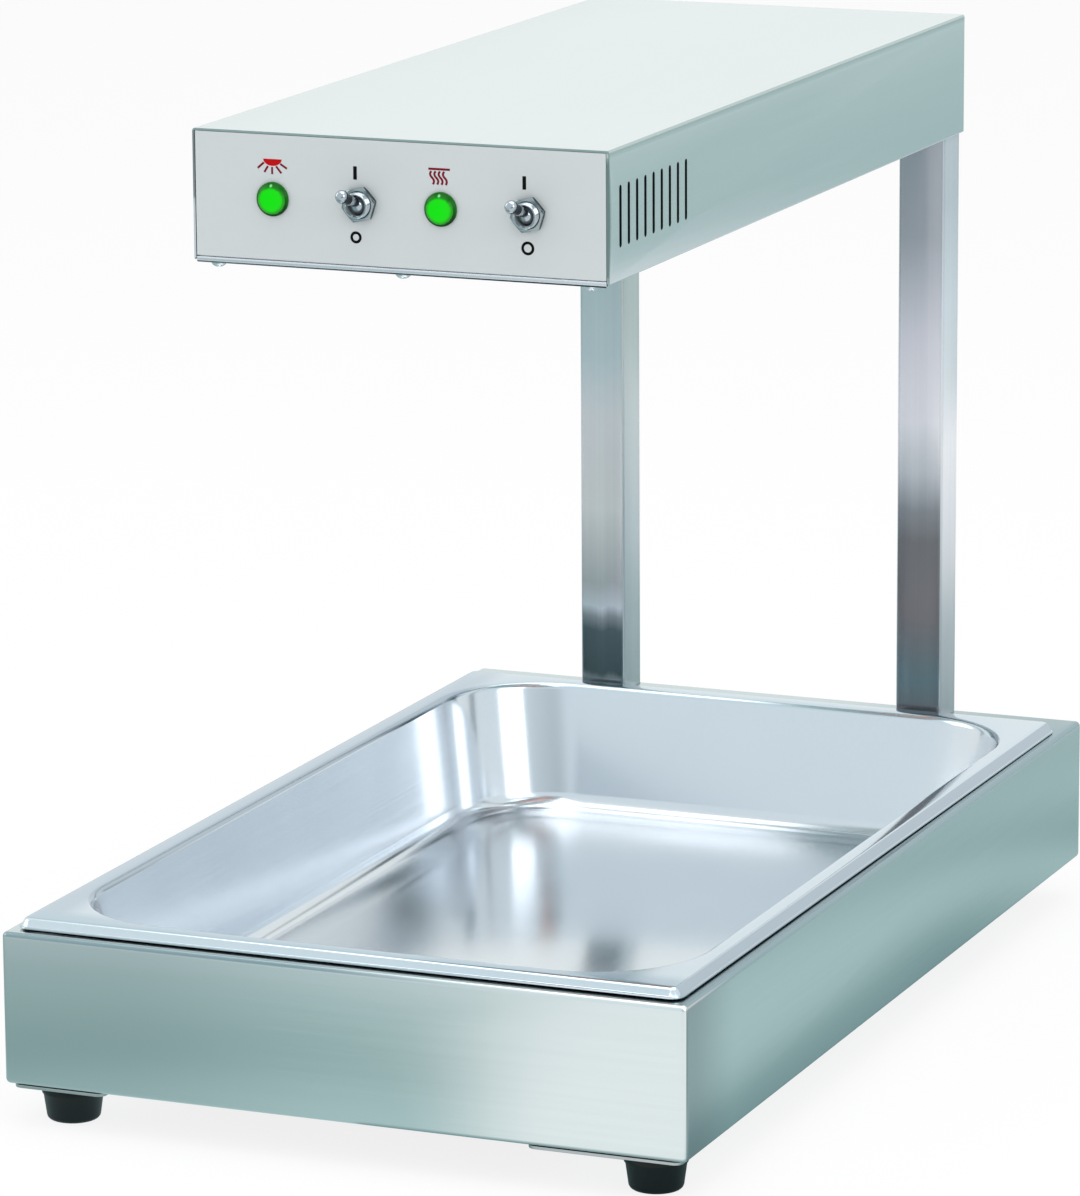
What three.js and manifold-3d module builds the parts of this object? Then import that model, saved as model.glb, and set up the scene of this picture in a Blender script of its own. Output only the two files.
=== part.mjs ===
// Infrared food warmer for one full-size catering pan.
// Millimetres, +Z up, front towards -Y. The origin lies on the floor, in the middle of the
// whole object's length and width.

import * as THREE from 'three';
import * as BufferGeometryUtils from 'three/addons/utils/BufferGeometryUtils.js';
import Module from 'manifold-3d';

const wasm = await Module();
wasm.setup();

// Shared clearances and round counts
const fitGap = 0.3;
const cutOverrun = 4;
const roundSides = 24;
const smallSides = 12;
const cornerSteps = 6;
const bendSteps = 2;

// Food pan
const panWidth = 325;
const panLength = 530;
const panDepth = 65;
const panSheet = 0.9;
const rimHeight = 5.7;
const rimWidth = 13.3;
const lipWidth = 2.6;
const rimEdgeRadius = 1.2;
const mouthRadius = 3;
const cavityTaper = 8;
const panFloorRadius = 10;
const lipCornerRadius = 12;
const cavityCornerRadius = 52;

// Base shell
const panSideMargin = 5;
const panFrontMargin = 5;
const panRearGap = 1;
const wellClearance = 1.2;
const baseHeight = 72;
const baseSheet = 1.2;
const baseCornerRadius = 3;
const baseEdgeRadius = 1.8;
const baseFlange = 14;

// Feet and the two strips that carry them
const footHeight = 18;
const footTopDiameter = 31;
const footBottomDiameter = 25;
const footInset = 23.5;
const rearFootInset = 35.5;
const footEdgeRadius = 2.5;
const footRecessDiameter = 13;
const footRecessDepth = 8;
const railSheet = 1.5;
const railInset = 3.5;
const railEndInset = 1.5;
const leftRailWidth = 46;
const rightRailWidth = 73.5;

// Posts
const postSize = 24.5;
const postWall = 1.5;
const hoodRise = 374;

// Hood
const hoodWidth = 202;
const hoodLength = 484;
const hoodHeight = 60;
const hoodSheet = 1;
const hoodBendRadius = 2;
const hoodFlange = 10;
const hemHeight = 1.2;
const panelReturn = 15;
const rearReturn = 42;

// Ventilation slots in each side of the hood
const slotCount = 9;
const slotPitch = 10;
const slotWidth = 2.5;
const slotHeight = 28;
const firstSlotInset = 14;
const slotRise = 29;

// Controls on the front panel
const controlRise = 29.7;
const lightPilotAcross = -61.3;
const lightToggleAcross = -18.5;
const heatPilotAcross = 20.8;
const heatToggleAcross = 63;

// Toggle switches
const bushingRadius = 5.9;
const bushingBore = 4.6;
const bushingReach = 6;
const bushingPlate = 1.2;
const toggleCaseWidth = 17;
const toggleCaseHeight = 28;
const toggleCaseDepth = 24;
const toggleTabWidth = 6;
const toggleTabThickness = 1;
const toggleTabLength = 7;
const toggleTabSpacing = 14;
const nutAcrossFlats = 14.7;
const nutThickness = 2.5;
const nutTurns = { light: -12, heat: -17 };
const leverPivotDepth = 1.5;
const leverLength = 19.6;
const leverTipRadius = 3.25;
const leverNeckRadius = 1.9;
const leverShoulderRadius = 2.7;
const leverTilt = 20;

// Pilot lamps
const lensRadius = 7.8;
const lensFlange = 1.1;
const lensCrown = 1.7;
const lensFaceRadius = 5.9;
const lensSpigotRadius = 4.5;
const lensSpigotLength = 9;
const pilotBodyRadius = 6;
const pilotBodyLength = 24;
const pilotFloor = 12;
const lensBevelShare = 0.75;

// Hood's lower cover, reflector and heat shield
const windowWidth = 112;
const windowFrontInset = 56;
const windowRearInset = 66;
const reflectorSheet = 0.8;
const reflectorFlange = 9;
const reflectorFoot = 63;
const reflectorTop = 42;
const reflectorHeight = 30;
const reflectorOverlap = 8;
const endPlateSheet = 1;
const endPlateInset = 0.8;
const shieldSheet = 1;
const shieldWidth = 150;
const shieldEndInset = 6;
const shieldLift = 5;

// Heater tubes and lamp
const heaterRadius = 6;
const heaterSpacing = 56;
const heaterRise = 14.5;
const capRadius = 7.5;
const capLength = 14;
const capPlateReach = 7;
const lampRadius = 5;
const lampLength = 112;
const lampRise = 13;
const lampHolderWidth = 14;
const lampHolderLength = 11;
const lampHolderDrop = 20;

// Wire guard
const guardEdgeRadius = 1.5;
const guardBarRadius = 1.1;
const guardBarCount = 11;
const guardSides = 8;

// Fasteners: head radius, head height and shank radius
const coverScrew = { head: 4, rise: 3.4, shank: 1.8 };
const coverScrewInset = 5;
const footScrew = { head: 5, rise: 2.8, shank: 2.4 };
const rearScrewShare = 2 / 3;

// Bridges that tie the two posts together at their feet and at their heads
const bridgeSheet = 2;
const bridgeHeight = 34;
const bridgeDepth = 18;

// Cable gland
const glandThreadRadius = 10;
const glandBore = 4.5;
const glandHexAcrossFlats = 24;
const glandHexThickness = 5;
const glandDomeLength = 14;
const glandDomeNeck = 7.5;
const glandShoulderShare = 2 / 3;
const glandLocknutAcrossFlats = 26;
const glandLocknutThickness = 4;
const glandAcross = -38;
const glandRise = 34;

// Terminal block, earth stud and wiring
const terminalWidth = 42;
const terminalDepth = 16;
const terminalHeight = 17;
const terminalRearInset = 28;
const terminalPitch = 13;
const terminalScrewRadius = 2.4;
const terminalScrewDepth = 7;
const earthStudRadius = 2.4;
const earthStudHeight = 15;
const earthBaseRadius = 5;
const earthBaseHeight = 2.5;
const earthNutAcrossFlats = 8;
const earthNutHeight = 3.5;
const earthNutRise = 6;
const earthStudAcross = 58;
const wireRadius = 1.2;
const wireSides = 6;
const wireSteps = 30;
const wireBend = 15;
const wireClearance = 5;

// Heights worked out from the stack: feet, strips, shell, pan, hood
const railBottom = footHeight + fitGap;
const railTop = railBottom + railSheet;
const shellBottom = railTop + fitGap;
const baseTop = shellBottom + baseHeight;
const lipBottom = baseTop + fitGap;
const rimTop = baseTop + rimHeight;
const hoodBottom = shellBottom + hoodRise;
const hoodTop = hoodBottom + hoodHeight;
const coverBottom = hoodBottom + hoodSheet + fitGap;
const coverTop = coverBottom + hoodSheet;
const troughBottom = coverTop + fitGap;
const troughTop = troughBottom + reflectorHeight;
const shieldTop = troughTop + shieldLift + shieldSheet;

// Plan sizes, with the base's front face at y = 0
const baseWidth = panWidth + 2 * panSideMargin;
const panRear = panFrontMargin + panLength;
const postFront = panRear + panRearGap;
const postRear = postFront + postSize;
const baseDepth = postRear + fitGap + Math.max(baseSheet, hoodSheet);
const postOuter = hoodWidth / 2 - hoodSheet - fitGap;
const postInner = postOuter - postSize;
const hoodFront = baseDepth - hoodLength;
const panelBack = hoodFront + hoodSheet;
const controlHeight = hoodBottom + controlRise;
const windowFront = hoodFront + windowFrontInset;
const windowRear = baseDepth - windowRearInset;
const glandReach = glandHexThickness + glandDomeLength + fitGap;
const wholeDepth = baseDepth + glandReach;

// Finishes
const finish = (color, roughness, metalness) =>
  new THREE.MeshStandardMaterial({ color, roughness, metalness });
const brushedSteel = () => finish(0xb4c2c4, 0.38, 1);
const satinSteel = () => finish(0xa4adb0, 0.3, 1);
const polishedSteel = () => finish(0xd5dde4, 0.16, 1);
const panelGrey = () => finish(0xcbd2d4, 0.5, 0.1);
const zincSteel = () => finish(0xb9bdbd, 0.4, 1);
const chromeSteel = () => finish(0xdfe3e4, 0.08, 1);
const blackRubber = () => finish(0x15191a, 0.75, 0);
const greenLens = () => finish(0x16d81a, 0.2, 0);
const darkPlastic = () => finish(0x22262a, 0.5, 0);
const ceramic = () => finish(0xe9e5da, 0.6, 0);
const quartz = () => finish(0xd9d2c8, 0.15, 0);
const brass = () => finish(0xc9a64f, 0.35, 1);
const wireCover = color => finish(color, 0.55, 0);

// Solids from closed geometries
function solidOf(geometry) {
  const bare = geometry.clone();
  for (const name of Object.keys(bare.attributes)) {
    if (name !== 'position') bare.deleteAttribute(name);
  }
  const merged = BufferGeometryUtils.mergeVertices(bare);
  const corners = merged.index.array;
  const kept = [];
  for (let i = 0; i < corners.length; i += 3) {
    const [a, b, c] = [corners[i], corners[i + 1], corners[i + 2]];
    if (a !== b && b !== c && c !== a) kept.push(a, b, c);
  }
  return new wasm.Manifold(new wasm.Mesh({
    numProp: 3,
    vertProperties: new Float32Array(merged.attributes.position.array),
    triVerts: new Uint32Array(kept),
  }));
}

function geometryOf(solid) {
  const mesh = solid.getMesh();
  const geometry = new THREE.BufferGeometry();
  geometry.setAttribute('position', new THREE.BufferAttribute(mesh.vertProperties, 3));
  geometry.setIndex(new THREE.BufferAttribute(mesh.triVerts, 1));
  geometry.computeVertexNormals();
  return geometry;
}

const join = solids => solids.reduce((whole, piece) => whole.add(piece));
const cut = (solid, tools) => tools.reduce((whole, tool) => whole.subtract(tool), solid);

// A block between two opposite corners
function block(low, high) {
  const size = high.map((value, i) => value - low[i]);
  const geometry = new THREE.BoxGeometry(...size);
  geometry.translate(...low.map((value, i) => value + size[i] / 2));
  return solidOf(geometry);
}

// The two mirror images of a block that stands clear of the middle plane
const blockPair = (low, high) => [
  block(low, high),
  block([-high[0], low[1], low[2]], [-low[0], high[1], high[2]]),
];

// Turns a geometry made along Y to run along the named axis, then moves it to its start
function runAlong(geometry, axis, start) {
  if (axis === 'x') geometry.rotateZ(-Math.PI / 2);
  if (axis === 'z') geometry.rotateX(Math.PI / 2);
  geometry.translate(...start);
  return geometry;
}

function rod(axis, radius, start, length, sides = smallSides) {
  const geometry = new THREE.CylinderGeometry(radius, radius, length, sides);
  geometry.translate(0, length / 2, 0);
  return solidOf(runAlong(geometry, axis, start));
}

// A hexagon across its flats, turned by some degrees about its axis
function hexagon(axis, acrossFlats, start, length, turn = 0) {
  const radius = acrossFlats / 2 / Math.cos(Math.PI / 6);
  const geometry = new THREE.CylinderGeometry(radius, radius, length, 6);
  geometry.rotateY(THREE.MathUtils.degToRad(turn));
  geometry.translate(0, length / 2, 0);
  return solidOf(runAlong(geometry, axis, start));
}

// A turned solid; the profile is a list of radius and distance along the axis
function turnedSolid(axis, profile, start, sides = roundSides) {
  const points = profile.map(([radius, along]) => new THREE.Vector2(radius, along));
  return solidOf(runAlong(new THREE.LatheGeometry(points, sides), axis, start));
}

function roundedRectangle(width, depth, radius) {
  const shape = new THREE.Shape();
  const [x, y] = [width / 2, depth / 2];
  shape.moveTo(-x + radius, -y);
  shape.lineTo(x - radius, -y);
  shape.absarc(x - radius, -y + radius, radius, -Math.PI / 2, 0);
  shape.lineTo(x, y - radius);
  shape.absarc(x - radius, y - radius, radius, 0, Math.PI / 2);
  shape.lineTo(-x + radius, y);
  shape.absarc(-x + radius, y - radius, radius, Math.PI / 2, Math.PI);
  shape.lineTo(-x, -y + radius);
  shape.absarc(-x + radius, -y + radius, radius, Math.PI, Math.PI * 3 / 2);
  return shape;
}

// An outline in X and Y raised to a height; an arc gets twice as many sides as the steps
function raised(shape, bottom, height, middle, steps) {
  const geometry = new THREE.ExtrudeGeometry(shape, {
    depth: height, bevelEnabled: false, curveSegments: steps,
  });
  geometry.translate(middle[0], middle[1], bottom);
  return solidOf(geometry);
}

// An outline whose second number runs down from the bottom height, extruded along Y
function swept(shape, front, length, bottom) {
  const geometry = new THREE.ExtrudeGeometry(shape, {
    depth: length, bevelEnabled: false, curveSegments: bendSteps,
  });
  geometry.rotateX(-Math.PI / 2);
  geometry.translate(0, front, bottom);
  return solidOf(geometry);
}

// A domed screw whose head stands on the start point and whose shank runs back along the axis
function domedScrew(axis, screw, start, length, forward) {
  const side = forward ? 1 : -1;
  const profile = [[0, -side * length], [screw.shank, -side * length], [screw.shank, 0]];
  for (const turn of [0, Math.PI / 6, Math.PI / 3]) {
    profile.push([screw.head * Math.cos(turn), side * screw.rise * Math.sin(turn)]);
  }
  profile.push([0, side * screw.rise]);
  return turnedSolid(axis, forward ? profile : profile.reverse(), start, smallSides);
}

// The scene graph: the base's front face is at y = 0 inside the warmer group
const warmer = new THREE.Group();
warmer.position.y = -wholeDepth / 2;

function node(name, solid, material, parent = warmer) {
  const mesh = new THREE.Mesh(geometryOf(solid), material);
  mesh.name = name;
  parent.add(mesh);
  return mesh;
}

// Food pan: rings of rounded rectangles, joined up from the floor's underside, over the rim,
// and down again to the floor's upper face
function ringedBody(levels, width, length, middle) {
  const positions = [];
  const triangles = [];
  const perRing = 4 * (cornerSteps + 1);
  for (const [inset, height, radius] of levels) {
    const [x, y] = [width / 2 - inset - radius, length / 2 - inset - radius];
    for (let corner = 0; corner < 4; corner++) {
      const [sx, sy] = [corner === 0 || corner === 3 ? 1 : -1, corner < 2 ? 1 : -1];
      for (let step = 0; step <= cornerSteps; step++) {
        const angle = (corner + step / cornerSteps) * Math.PI / 2;
        positions.push(
          middle[0] + sx * x + radius * Math.cos(angle),
          middle[1] + sy * y + radius * Math.sin(angle),
          height,
        );
      }
    }
  }
  for (let ring = 0; ring + 1 < levels.length; ring++) {
    for (let i = 0; i < perRing; i++) {
      const next = (i + 1) % perRing;
      const [a, b] = [ring * perRing + i, ring * perRing + next];
      const [c, d] = [a + perRing, b + perRing];
      triangles.push(a, b, d, a, d, c);
    }
  }
  const first = positions.length / 3;
  positions.push(middle[0], middle[1], levels[0][1]);
  positions.push(middle[0], middle[1], levels[levels.length - 1][1]);
  const last = (levels.length - 1) * perRing;
  for (let i = 0; i < perRing; i++) {
    const next = (i + 1) % perRing;
    triangles.push(first, next, i, first + 1, last + i, last + next);
  }
  const geometry = new THREE.BufferGeometry();
  geometry.setAttribute('position', new THREE.Float32BufferAttribute(positions, 3));
  geometry.setIndex(triangles);
  return solidOf(geometry);
}

function foodPan() {
  const wallTop = rimWidth - panSheet;
  const wallBottom = wallTop + cavityTaper;
  const floor = rimTop - panDepth;
  const outerCorner = cavityCornerRadius + panSheet;
  const innerFloorRadius = panFloorRadius - panSheet;
  const levels = [];
  for (const turn of [0, Math.PI / 6, Math.PI / 3, Math.PI / 2]) {
    const inset = wallBottom + panFloorRadius * (1 - Math.sin(turn));
    const height = floor + panFloorRadius * (1 - Math.cos(turn));
    levels.push([inset, height, outerCorner - panFloorRadius * (1 - Math.sin(turn))]);
  }
  levels.push([wallTop, rimTop - panSheet - mouthRadius, outerCorner]);
  const mouthBend = mouthRadius * Math.cos(Math.PI / 4);
  levels.push([wallTop - mouthRadius + mouthBend, rimTop - panSheet - mouthRadius + mouthBend,
    outerCorner + mouthRadius - mouthBend]);
  levels.push([wallTop - mouthRadius, rimTop - panSheet, outerCorner + mouthRadius]);
  const skirtInner = lipWidth + panSheet;
  const skirtCorner = lipCornerRadius - skirtInner;
  levels.push([skirtInner, rimTop - panSheet, skirtCorner]);
  levels.push([skirtInner, lipBottom, skirtCorner]);
  levels.push([0, lipBottom, lipCornerRadius]);
  levels.push([0, lipBottom + panSheet, lipCornerRadius]);
  levels.push([lipWidth, lipBottom + panSheet, lipCornerRadius - lipWidth]);
  levels.push([lipWidth, rimTop - rimEdgeRadius, lipCornerRadius - lipWidth]);
  levels.push([lipWidth + rimEdgeRadius, rimTop, lipCornerRadius - lipWidth - rimEdgeRadius]);
  const bendRadius = mouthRadius + panSheet;
  const bend = bendRadius * Math.cos(Math.PI / 4);
  levels.push([rimWidth - bendRadius, rimTop, cavityCornerRadius + bendRadius]);
  levels.push([rimWidth - bendRadius + bend, rimTop - bendRadius + bend,
    cavityCornerRadius + bendRadius - bend]);
  levels.push([rimWidth, rimTop - bendRadius, cavityCornerRadius]);
  for (const turn of [Math.PI / 2, Math.PI / 3, Math.PI / 6, 0]) {
    const inset = wallBottom + panSheet + innerFloorRadius * (1 - Math.sin(turn));
    const height = floor + panSheet + innerFloorRadius * (1 - Math.cos(turn));
    levels.push([inset, height, cavityCornerRadius - innerFloorRadius * (1 - Math.sin(turn))]);
  }
  return ringedBody(levels, panWidth, panLength, [0, panFrontMargin + panLength / 2]);
}
node('food_pan', foodPan(), polishedSteel());

// Places of the fasteners that go through more than one piece
const footPlaces = {
  front_left: [-baseWidth / 2 + footInset, footInset],
  front_right: [baseWidth / 2 - footInset, footInset],
  rear_left: [-baseWidth / 2 + rearFootInset, baseDepth - footInset],
  rear_right: [baseWidth / 2 - rearFootInset, baseDepth - footInset],
};
const railSpans = {
  left: [-baseWidth / 2 + railInset, -baseWidth / 2 + railInset + leftRailWidth],
  right: [baseWidth / 2 - railInset - rightRailWidth, baseWidth / 2 - railInset],
};

// Base shell: four walls, a top frame round the pan's well, and a turned-in lower edge
function baseShell() {
  const middle = [0, baseDepth / 2];
  const geometry = new THREE.ExtrudeGeometry(
    roundedRectangle(baseWidth - 2 * baseEdgeRadius, baseDepth - 2 * baseEdgeRadius,
      baseCornerRadius - baseEdgeRadius),
    { depth: baseHeight - 2 * baseEdgeRadius, bevelEnabled: true, bevelSize: baseEdgeRadius,
      bevelThickness: baseEdgeRadius, bevelSegments: bendSteps, curveSegments: bendSteps });
  geometry.translate(middle[0], middle[1], shellBottom + baseEdgeRadius);
  const outside = solidOf(geometry);
  const inside = raised(
    roundedRectangle(baseWidth - 2 * baseSheet, baseDepth - 2 * baseSheet,
      baseCornerRadius - baseSheet),
    shellBottom + baseSheet, baseHeight - 2 * baseSheet, middle, bendSteps);
  const underside = block(
    [-baseWidth / 2 + baseFlange, baseFlange, shellBottom - cutOverrun],
    [baseWidth / 2 - baseFlange, baseDepth - baseFlange, shellBottom + baseHeight / 2]);
  const wellInset = rimWidth - panSheet - wellClearance;
  const well = raised(
    roundedRectangle(panWidth - 2 * wellInset, panLength - 2 * wellInset,
      cavityCornerRadius + panSheet + wellClearance),
    baseTop - baseHeight / 2, baseHeight, [0, panFrontMargin + panLength / 2], cornerSteps / 2);
  const postHoles = blockPair(
    [postInner - fitGap, postFront - fitGap, baseTop - baseHeight / 2],
    [postOuter + fitGap, postRear + fitGap, baseTop + cutOverrun]);
  return cut(outside, [inside, underside, well, ...postHoles]);
}
node('base_shell', baseShell(), brushedSteel());

// Strips that run front to back under the shell and carry the feet
function footRail([from, to]) {
  const strip = block([from, railEndInset, railBottom], [to, baseDepth - railEndInset, railTop]);
  const within = ([x]) => x > from && x < to;
  const footHoles = Object.values(footPlaces).filter(within).map(([x, y]) =>
    rod('z', footScrew.shank + fitGap, [x, y, railBottom - cutOverrun],
      railSheet + 2 * cutOverrun));
  return cut(strip, footHoles);
}
node('foot_rail_left', footRail(railSpans.left), zincSteel());
node('foot_rail_right', footRail(railSpans.right), zincSteel());

// Rubber feet with a recess for the screw head
function foot() {
  const [top, bottom] = [footTopDiameter / 2, footBottomDiameter / 2];
  const recess = footRecessDiameter / 2;
  const bore = footScrew.shank + fitGap;
  const profile = [[bore, footRecessDepth], [recess, footRecessDepth], [recess, 0]];
  for (const turn of [0, Math.PI / 6, Math.PI / 3, Math.PI / 2]) {
    profile.push([bottom - footEdgeRadius * (1 - Math.sin(turn)),
      footEdgeRadius * (1 - Math.cos(turn))]);
  }
  profile.push([top, footHeight], [bore, footHeight], [bore, footRecessDepth]);
  return turnedSolid('z', profile, [0, 0, 0]);
}
for (const [place, [x, y]] of Object.entries(footPlaces)) {
  node(`foot_${place}`, foot(), blackRubber()).position.set(x, y, 0);
}
const footScrewSeat = footRecessDepth - fitGap;
const footScrewLength = railTop + fitGap - footScrewSeat;
for (const [place, [x, y]] of Object.entries(footPlaces)) {
  node(`foot_screw_${place}`,
    domedScrew('z', footScrew, [0, 0, footScrewSeat], footScrewLength, false),
    zincSteel()).position.set(x, y, 0);
}

// Square tube posts, open at both ends
const postBottom = shellBottom + baseSheet + fitGap;
const postTop = hoodTop - hoodSheet - fitGap;
function post(side) {
  const tube = cut(
    block([postInner, postFront, postBottom], [postOuter, postRear, postTop]),
    [block([postInner + postWall, postFront + postWall, postBottom - cutOverrun],
      [postOuter - postWall, postRear - postWall, postTop + cutOverrun])]);
  return side < 0 ? tube.mirror([1, 0, 0]) : tube;
}
node('post_left', post(-1), satinSteel());
node('post_right', post(1), satinSteel());

// Bridges between the posts: one stands on the shell's turned-in edge, one hangs from the
// hood's roof
const bridgeHalf = postInner - fitGap;
function bridge(bottom, shelfBottom) {
  const front = postRear - bridgeDepth;
  const shelf = block([-bridgeHalf, front, shelfBottom],
    [bridgeHalf, postRear, shelfBottom + bridgeSheet]);
  const cheeks = blockPair([bridgeHalf - bridgeSheet, front, bottom],
    [bridgeHalf, postRear, bottom + bridgeHeight]);
  return join([shelf, ...cheeks]);
}
node('post_foot_bridge', bridge(postBottom, postBottom), zincSteel());
node('post_head_bridge', bridge(postTop - bridgeHeight, postTop - bridgeSheet), zincSteel());

// Hood shell: top and sides in one folded sheet, with turned-in lower edges and side slots
function foldedOutline() {
  const [x, inner] = [hoodWidth / 2, hoodWidth / 2 - hoodSheet];
  const [bend, innerBend] = [hoodBendRadius, hoodBendRadius - hoodSheet];
  const shape = new THREE.Shape();
  shape.moveTo(-x + hoodFlange, 0);
  shape.lineTo(-x, 0);
  shape.lineTo(-x, -hoodHeight + bend);
  shape.absarc(-x + bend, -hoodHeight + bend, bend, Math.PI, Math.PI * 3 / 2);
  shape.lineTo(x - bend, -hoodHeight);
  shape.absarc(x - bend, -hoodHeight + bend, bend, -Math.PI / 2, 0);
  shape.lineTo(x, 0);
  shape.lineTo(x - hoodFlange, 0);
  shape.lineTo(x - hoodFlange, -hoodSheet);
  shape.lineTo(inner, -hoodSheet);
  shape.lineTo(inner, -hoodHeight + bend);
  shape.absarc(inner - innerBend, -hoodHeight + bend, innerBend, 0, -Math.PI / 2, true);
  shape.lineTo(-inner + innerBend, -hoodHeight + hoodSheet);
  shape.absarc(-inner + innerBend, -hoodHeight + bend, innerBend, -Math.PI / 2, -Math.PI, true);
  shape.lineTo(-inner, -hoodSheet);
  shape.lineTo(-x + hoodFlange, -hoodSheet);
  return shape;
}

function slotOutline() {
  const [half, straight] = [slotWidth / 2, slotHeight / 2 - slotWidth / 2];
  const shape = new THREE.Shape();
  shape.moveTo(half, -straight);
  shape.lineTo(half, straight);
  shape.absarc(0, straight, half, 0, Math.PI);
  shape.lineTo(-half, -straight);
  shape.absarc(0, -straight, half, Math.PI, Math.PI * 2);
  return shape;
}

function hoodShell() {
  const folded = swept(foldedOutline(), hoodFront, hoodLength, hoodBottom);
  const hem = block([-hoodWidth / 2 + hoodSheet / 2, hoodFront, hoodTop - hoodSheet - hemHeight],
    [hoodWidth / 2 - hoodSheet / 2, panelBack, hoodTop - hoodSheet / 2]);
  const edge = hoodWidth / 2 - hoodFlange - fitGap;
  const innerFace = hoodWidth / 2 - hoodSheet;
  const frontNotch = blockPair([edge, hoodFront - cutOverrun, hoodBottom - cutOverrun],
    [innerFace, hoodFront + panelReturn + fitGap, hoodBottom + hoodSheet + fitGap]);
  const rearNotch = blockPair([edge, baseDepth - rearReturn - fitGap, hoodBottom - cutOverrun],
    [innerFace, baseDepth + cutOverrun, hoodBottom + hoodSheet + fitGap]);
  const slots = [];
  for (let i = 0; i < slotCount; i++) {
    const geometry = new THREE.ExtrudeGeometry(slotOutline(), {
      depth: hoodWidth + 2 * cutOverrun, bevelEnabled: false, curveSegments: bendSteps,
    });
    geometry.rotateX(Math.PI / 2);
    geometry.rotateZ(Math.PI / 2);
    geometry.translate(-hoodWidth / 2 - cutOverrun,
      hoodFront + firstSlotInset + i * slotPitch, hoodBottom + slotRise);
    slots.push(solidOf(geometry));
  }
  return cut(join([folded, hem]), [...frontNotch, ...rearNotch, ...slots]);
}
node('hood_shell', hoodShell(), brushedSteel());

// Front panel with a turned-back lower edge, and holes for the controls
const coverScrewAcross = hoodWidth / 2 - hoodFlange;
const frontCoverScrews = [-coverScrewAcross, 0, coverScrewAcross].map(x =>
  [x, hoodFront + coverScrewInset]);
const rearCoverScrews = [-postInner, postInner].map(x =>
  [x * rearScrewShare, baseDepth - rearReturn + coverScrewInset]);
const coverScrewHole = ([x, y]) => rod('z', coverScrew.shank + fitGap,
  [x, y, hoodBottom - cutOverrun], 2 * hoodSheet + fitGap + 2 * cutOverrun);
const panelHalf = hoodWidth / 2 - hoodSheet - fitGap;

function frontPanel() {
  const face = block([-panelHalf, hoodFront, hoodBottom],
    [panelHalf, panelBack, hoodTop - hoodSheet - hemHeight - fitGap]);
  const edge = block([-panelHalf, hoodFront, hoodBottom],
    [panelHalf, hoodFront + panelReturn, hoodBottom + hoodSheet]);
  const hole = (x, radius) => rod('y', radius, [x, hoodFront - cutOverrun, controlHeight],
    hoodSheet + 2 * cutOverrun, roundSides);
  return cut(join([face, edge]), [
    hole(lightToggleAcross, bushingRadius + fitGap),
    hole(heatToggleAcross, bushingRadius + fitGap),
    hole(lightPilotAcross, pilotBodyRadius + fitGap),
    hole(heatPilotAcross, pilotBodyRadius + fitGap),
    ...frontCoverScrews.map(coverScrewHole),
  ]);
}
node('hood_front_panel', frontPanel(), panelGrey());

// Rear panel: its lower edge reaches forward between the posts, under the cover's rear edge
const rearPanelFront = baseDepth - hoodSheet;
const glandHeight = hoodBottom + glandRise;
function rearPanel() {
  const face = block([-panelHalf, rearPanelFront, hoodBottom],
    [panelHalf, baseDepth, hoodTop - hoodSheet - fitGap]);
  const edge = block([-panelHalf, baseDepth - rearReturn, hoodBottom],
    [panelHalf, baseDepth, hoodBottom + hoodSheet]);
  const postNotch = blockPair([postInner - fitGap, postFront - fitGap, hoodBottom - cutOverrun],
    [hoodWidth / 2, postRear + fitGap, hoodBottom + hoodSheet + cutOverrun]);
  const glandHole = rod('y', glandThreadRadius + fitGap,
    [glandAcross, rearPanelFront - cutOverrun, glandHeight], hoodSheet + 2 * cutOverrun,
    roundSides);
  return cut(join([face, edge]),
    [...postNotch, glandHole, ...rearCoverScrews.map(coverScrewHole)]);
}
node('hood_rear_panel', rearPanel(), brushedSteel());

// Lower cover with the heater window
function coverPlate() {
  const half = hoodWidth / 2 - hoodSheet - fitGap;
  const plate = block([-half, panelBack + fitGap, coverBottom],
    [half, postFront - fitGap, coverTop]);
  const opening = block([-windowWidth / 2, windowFront, coverBottom - cutOverrun],
    [windowWidth / 2, windowRear, coverTop + cutOverrun]);
  return cut(plate, [opening, ...[...frontCoverScrews, ...rearCoverScrews].map(coverScrewHole)]);
}
node('hood_cover_plate', coverPlate(), brushedSteel());

const coverScrewLength = fitGap + hoodSheet + fitGap + hoodSheet;
[...frontCoverScrews, ...rearCoverScrews].forEach(([x, y], i) => {
  node(`cover_screw_${i + 1}`,
    domedScrew('z', coverScrew, [x, y, hoodBottom - fitGap], coverScrewLength, false),
    chromeSteel());
});

// Reflector trough over the window, with an end plate at each end
const reflectorFront = windowFront - reflectorOverlap;
const reflectorRear = windowRear + reflectorOverlap;
function troughOutline() {
  const [foot, top, wall] = [reflectorFoot, reflectorTop, reflectorSheet];
  const shape = new THREE.Shape();
  const outer = [[-foot - reflectorFlange, 0], [-foot - reflectorFlange, wall],
    [-foot - wall, wall], [-top - wall, reflectorHeight], [top + wall, reflectorHeight],
    [foot + wall, wall], [foot + reflectorFlange, wall], [foot + reflectorFlange, 0],
    [foot, 0], [top, reflectorHeight - wall], [-top, reflectorHeight - wall], [-foot, 0]];
  outer.forEach(([x, z], i) => (i ? shape.lineTo(x, -z) : shape.moveTo(x, -z)));
  return shape;
}
node('reflector', swept(troughOutline(), reflectorFront, reflectorRear - reflectorFront,
  troughBottom), polishedSteel());

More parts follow.
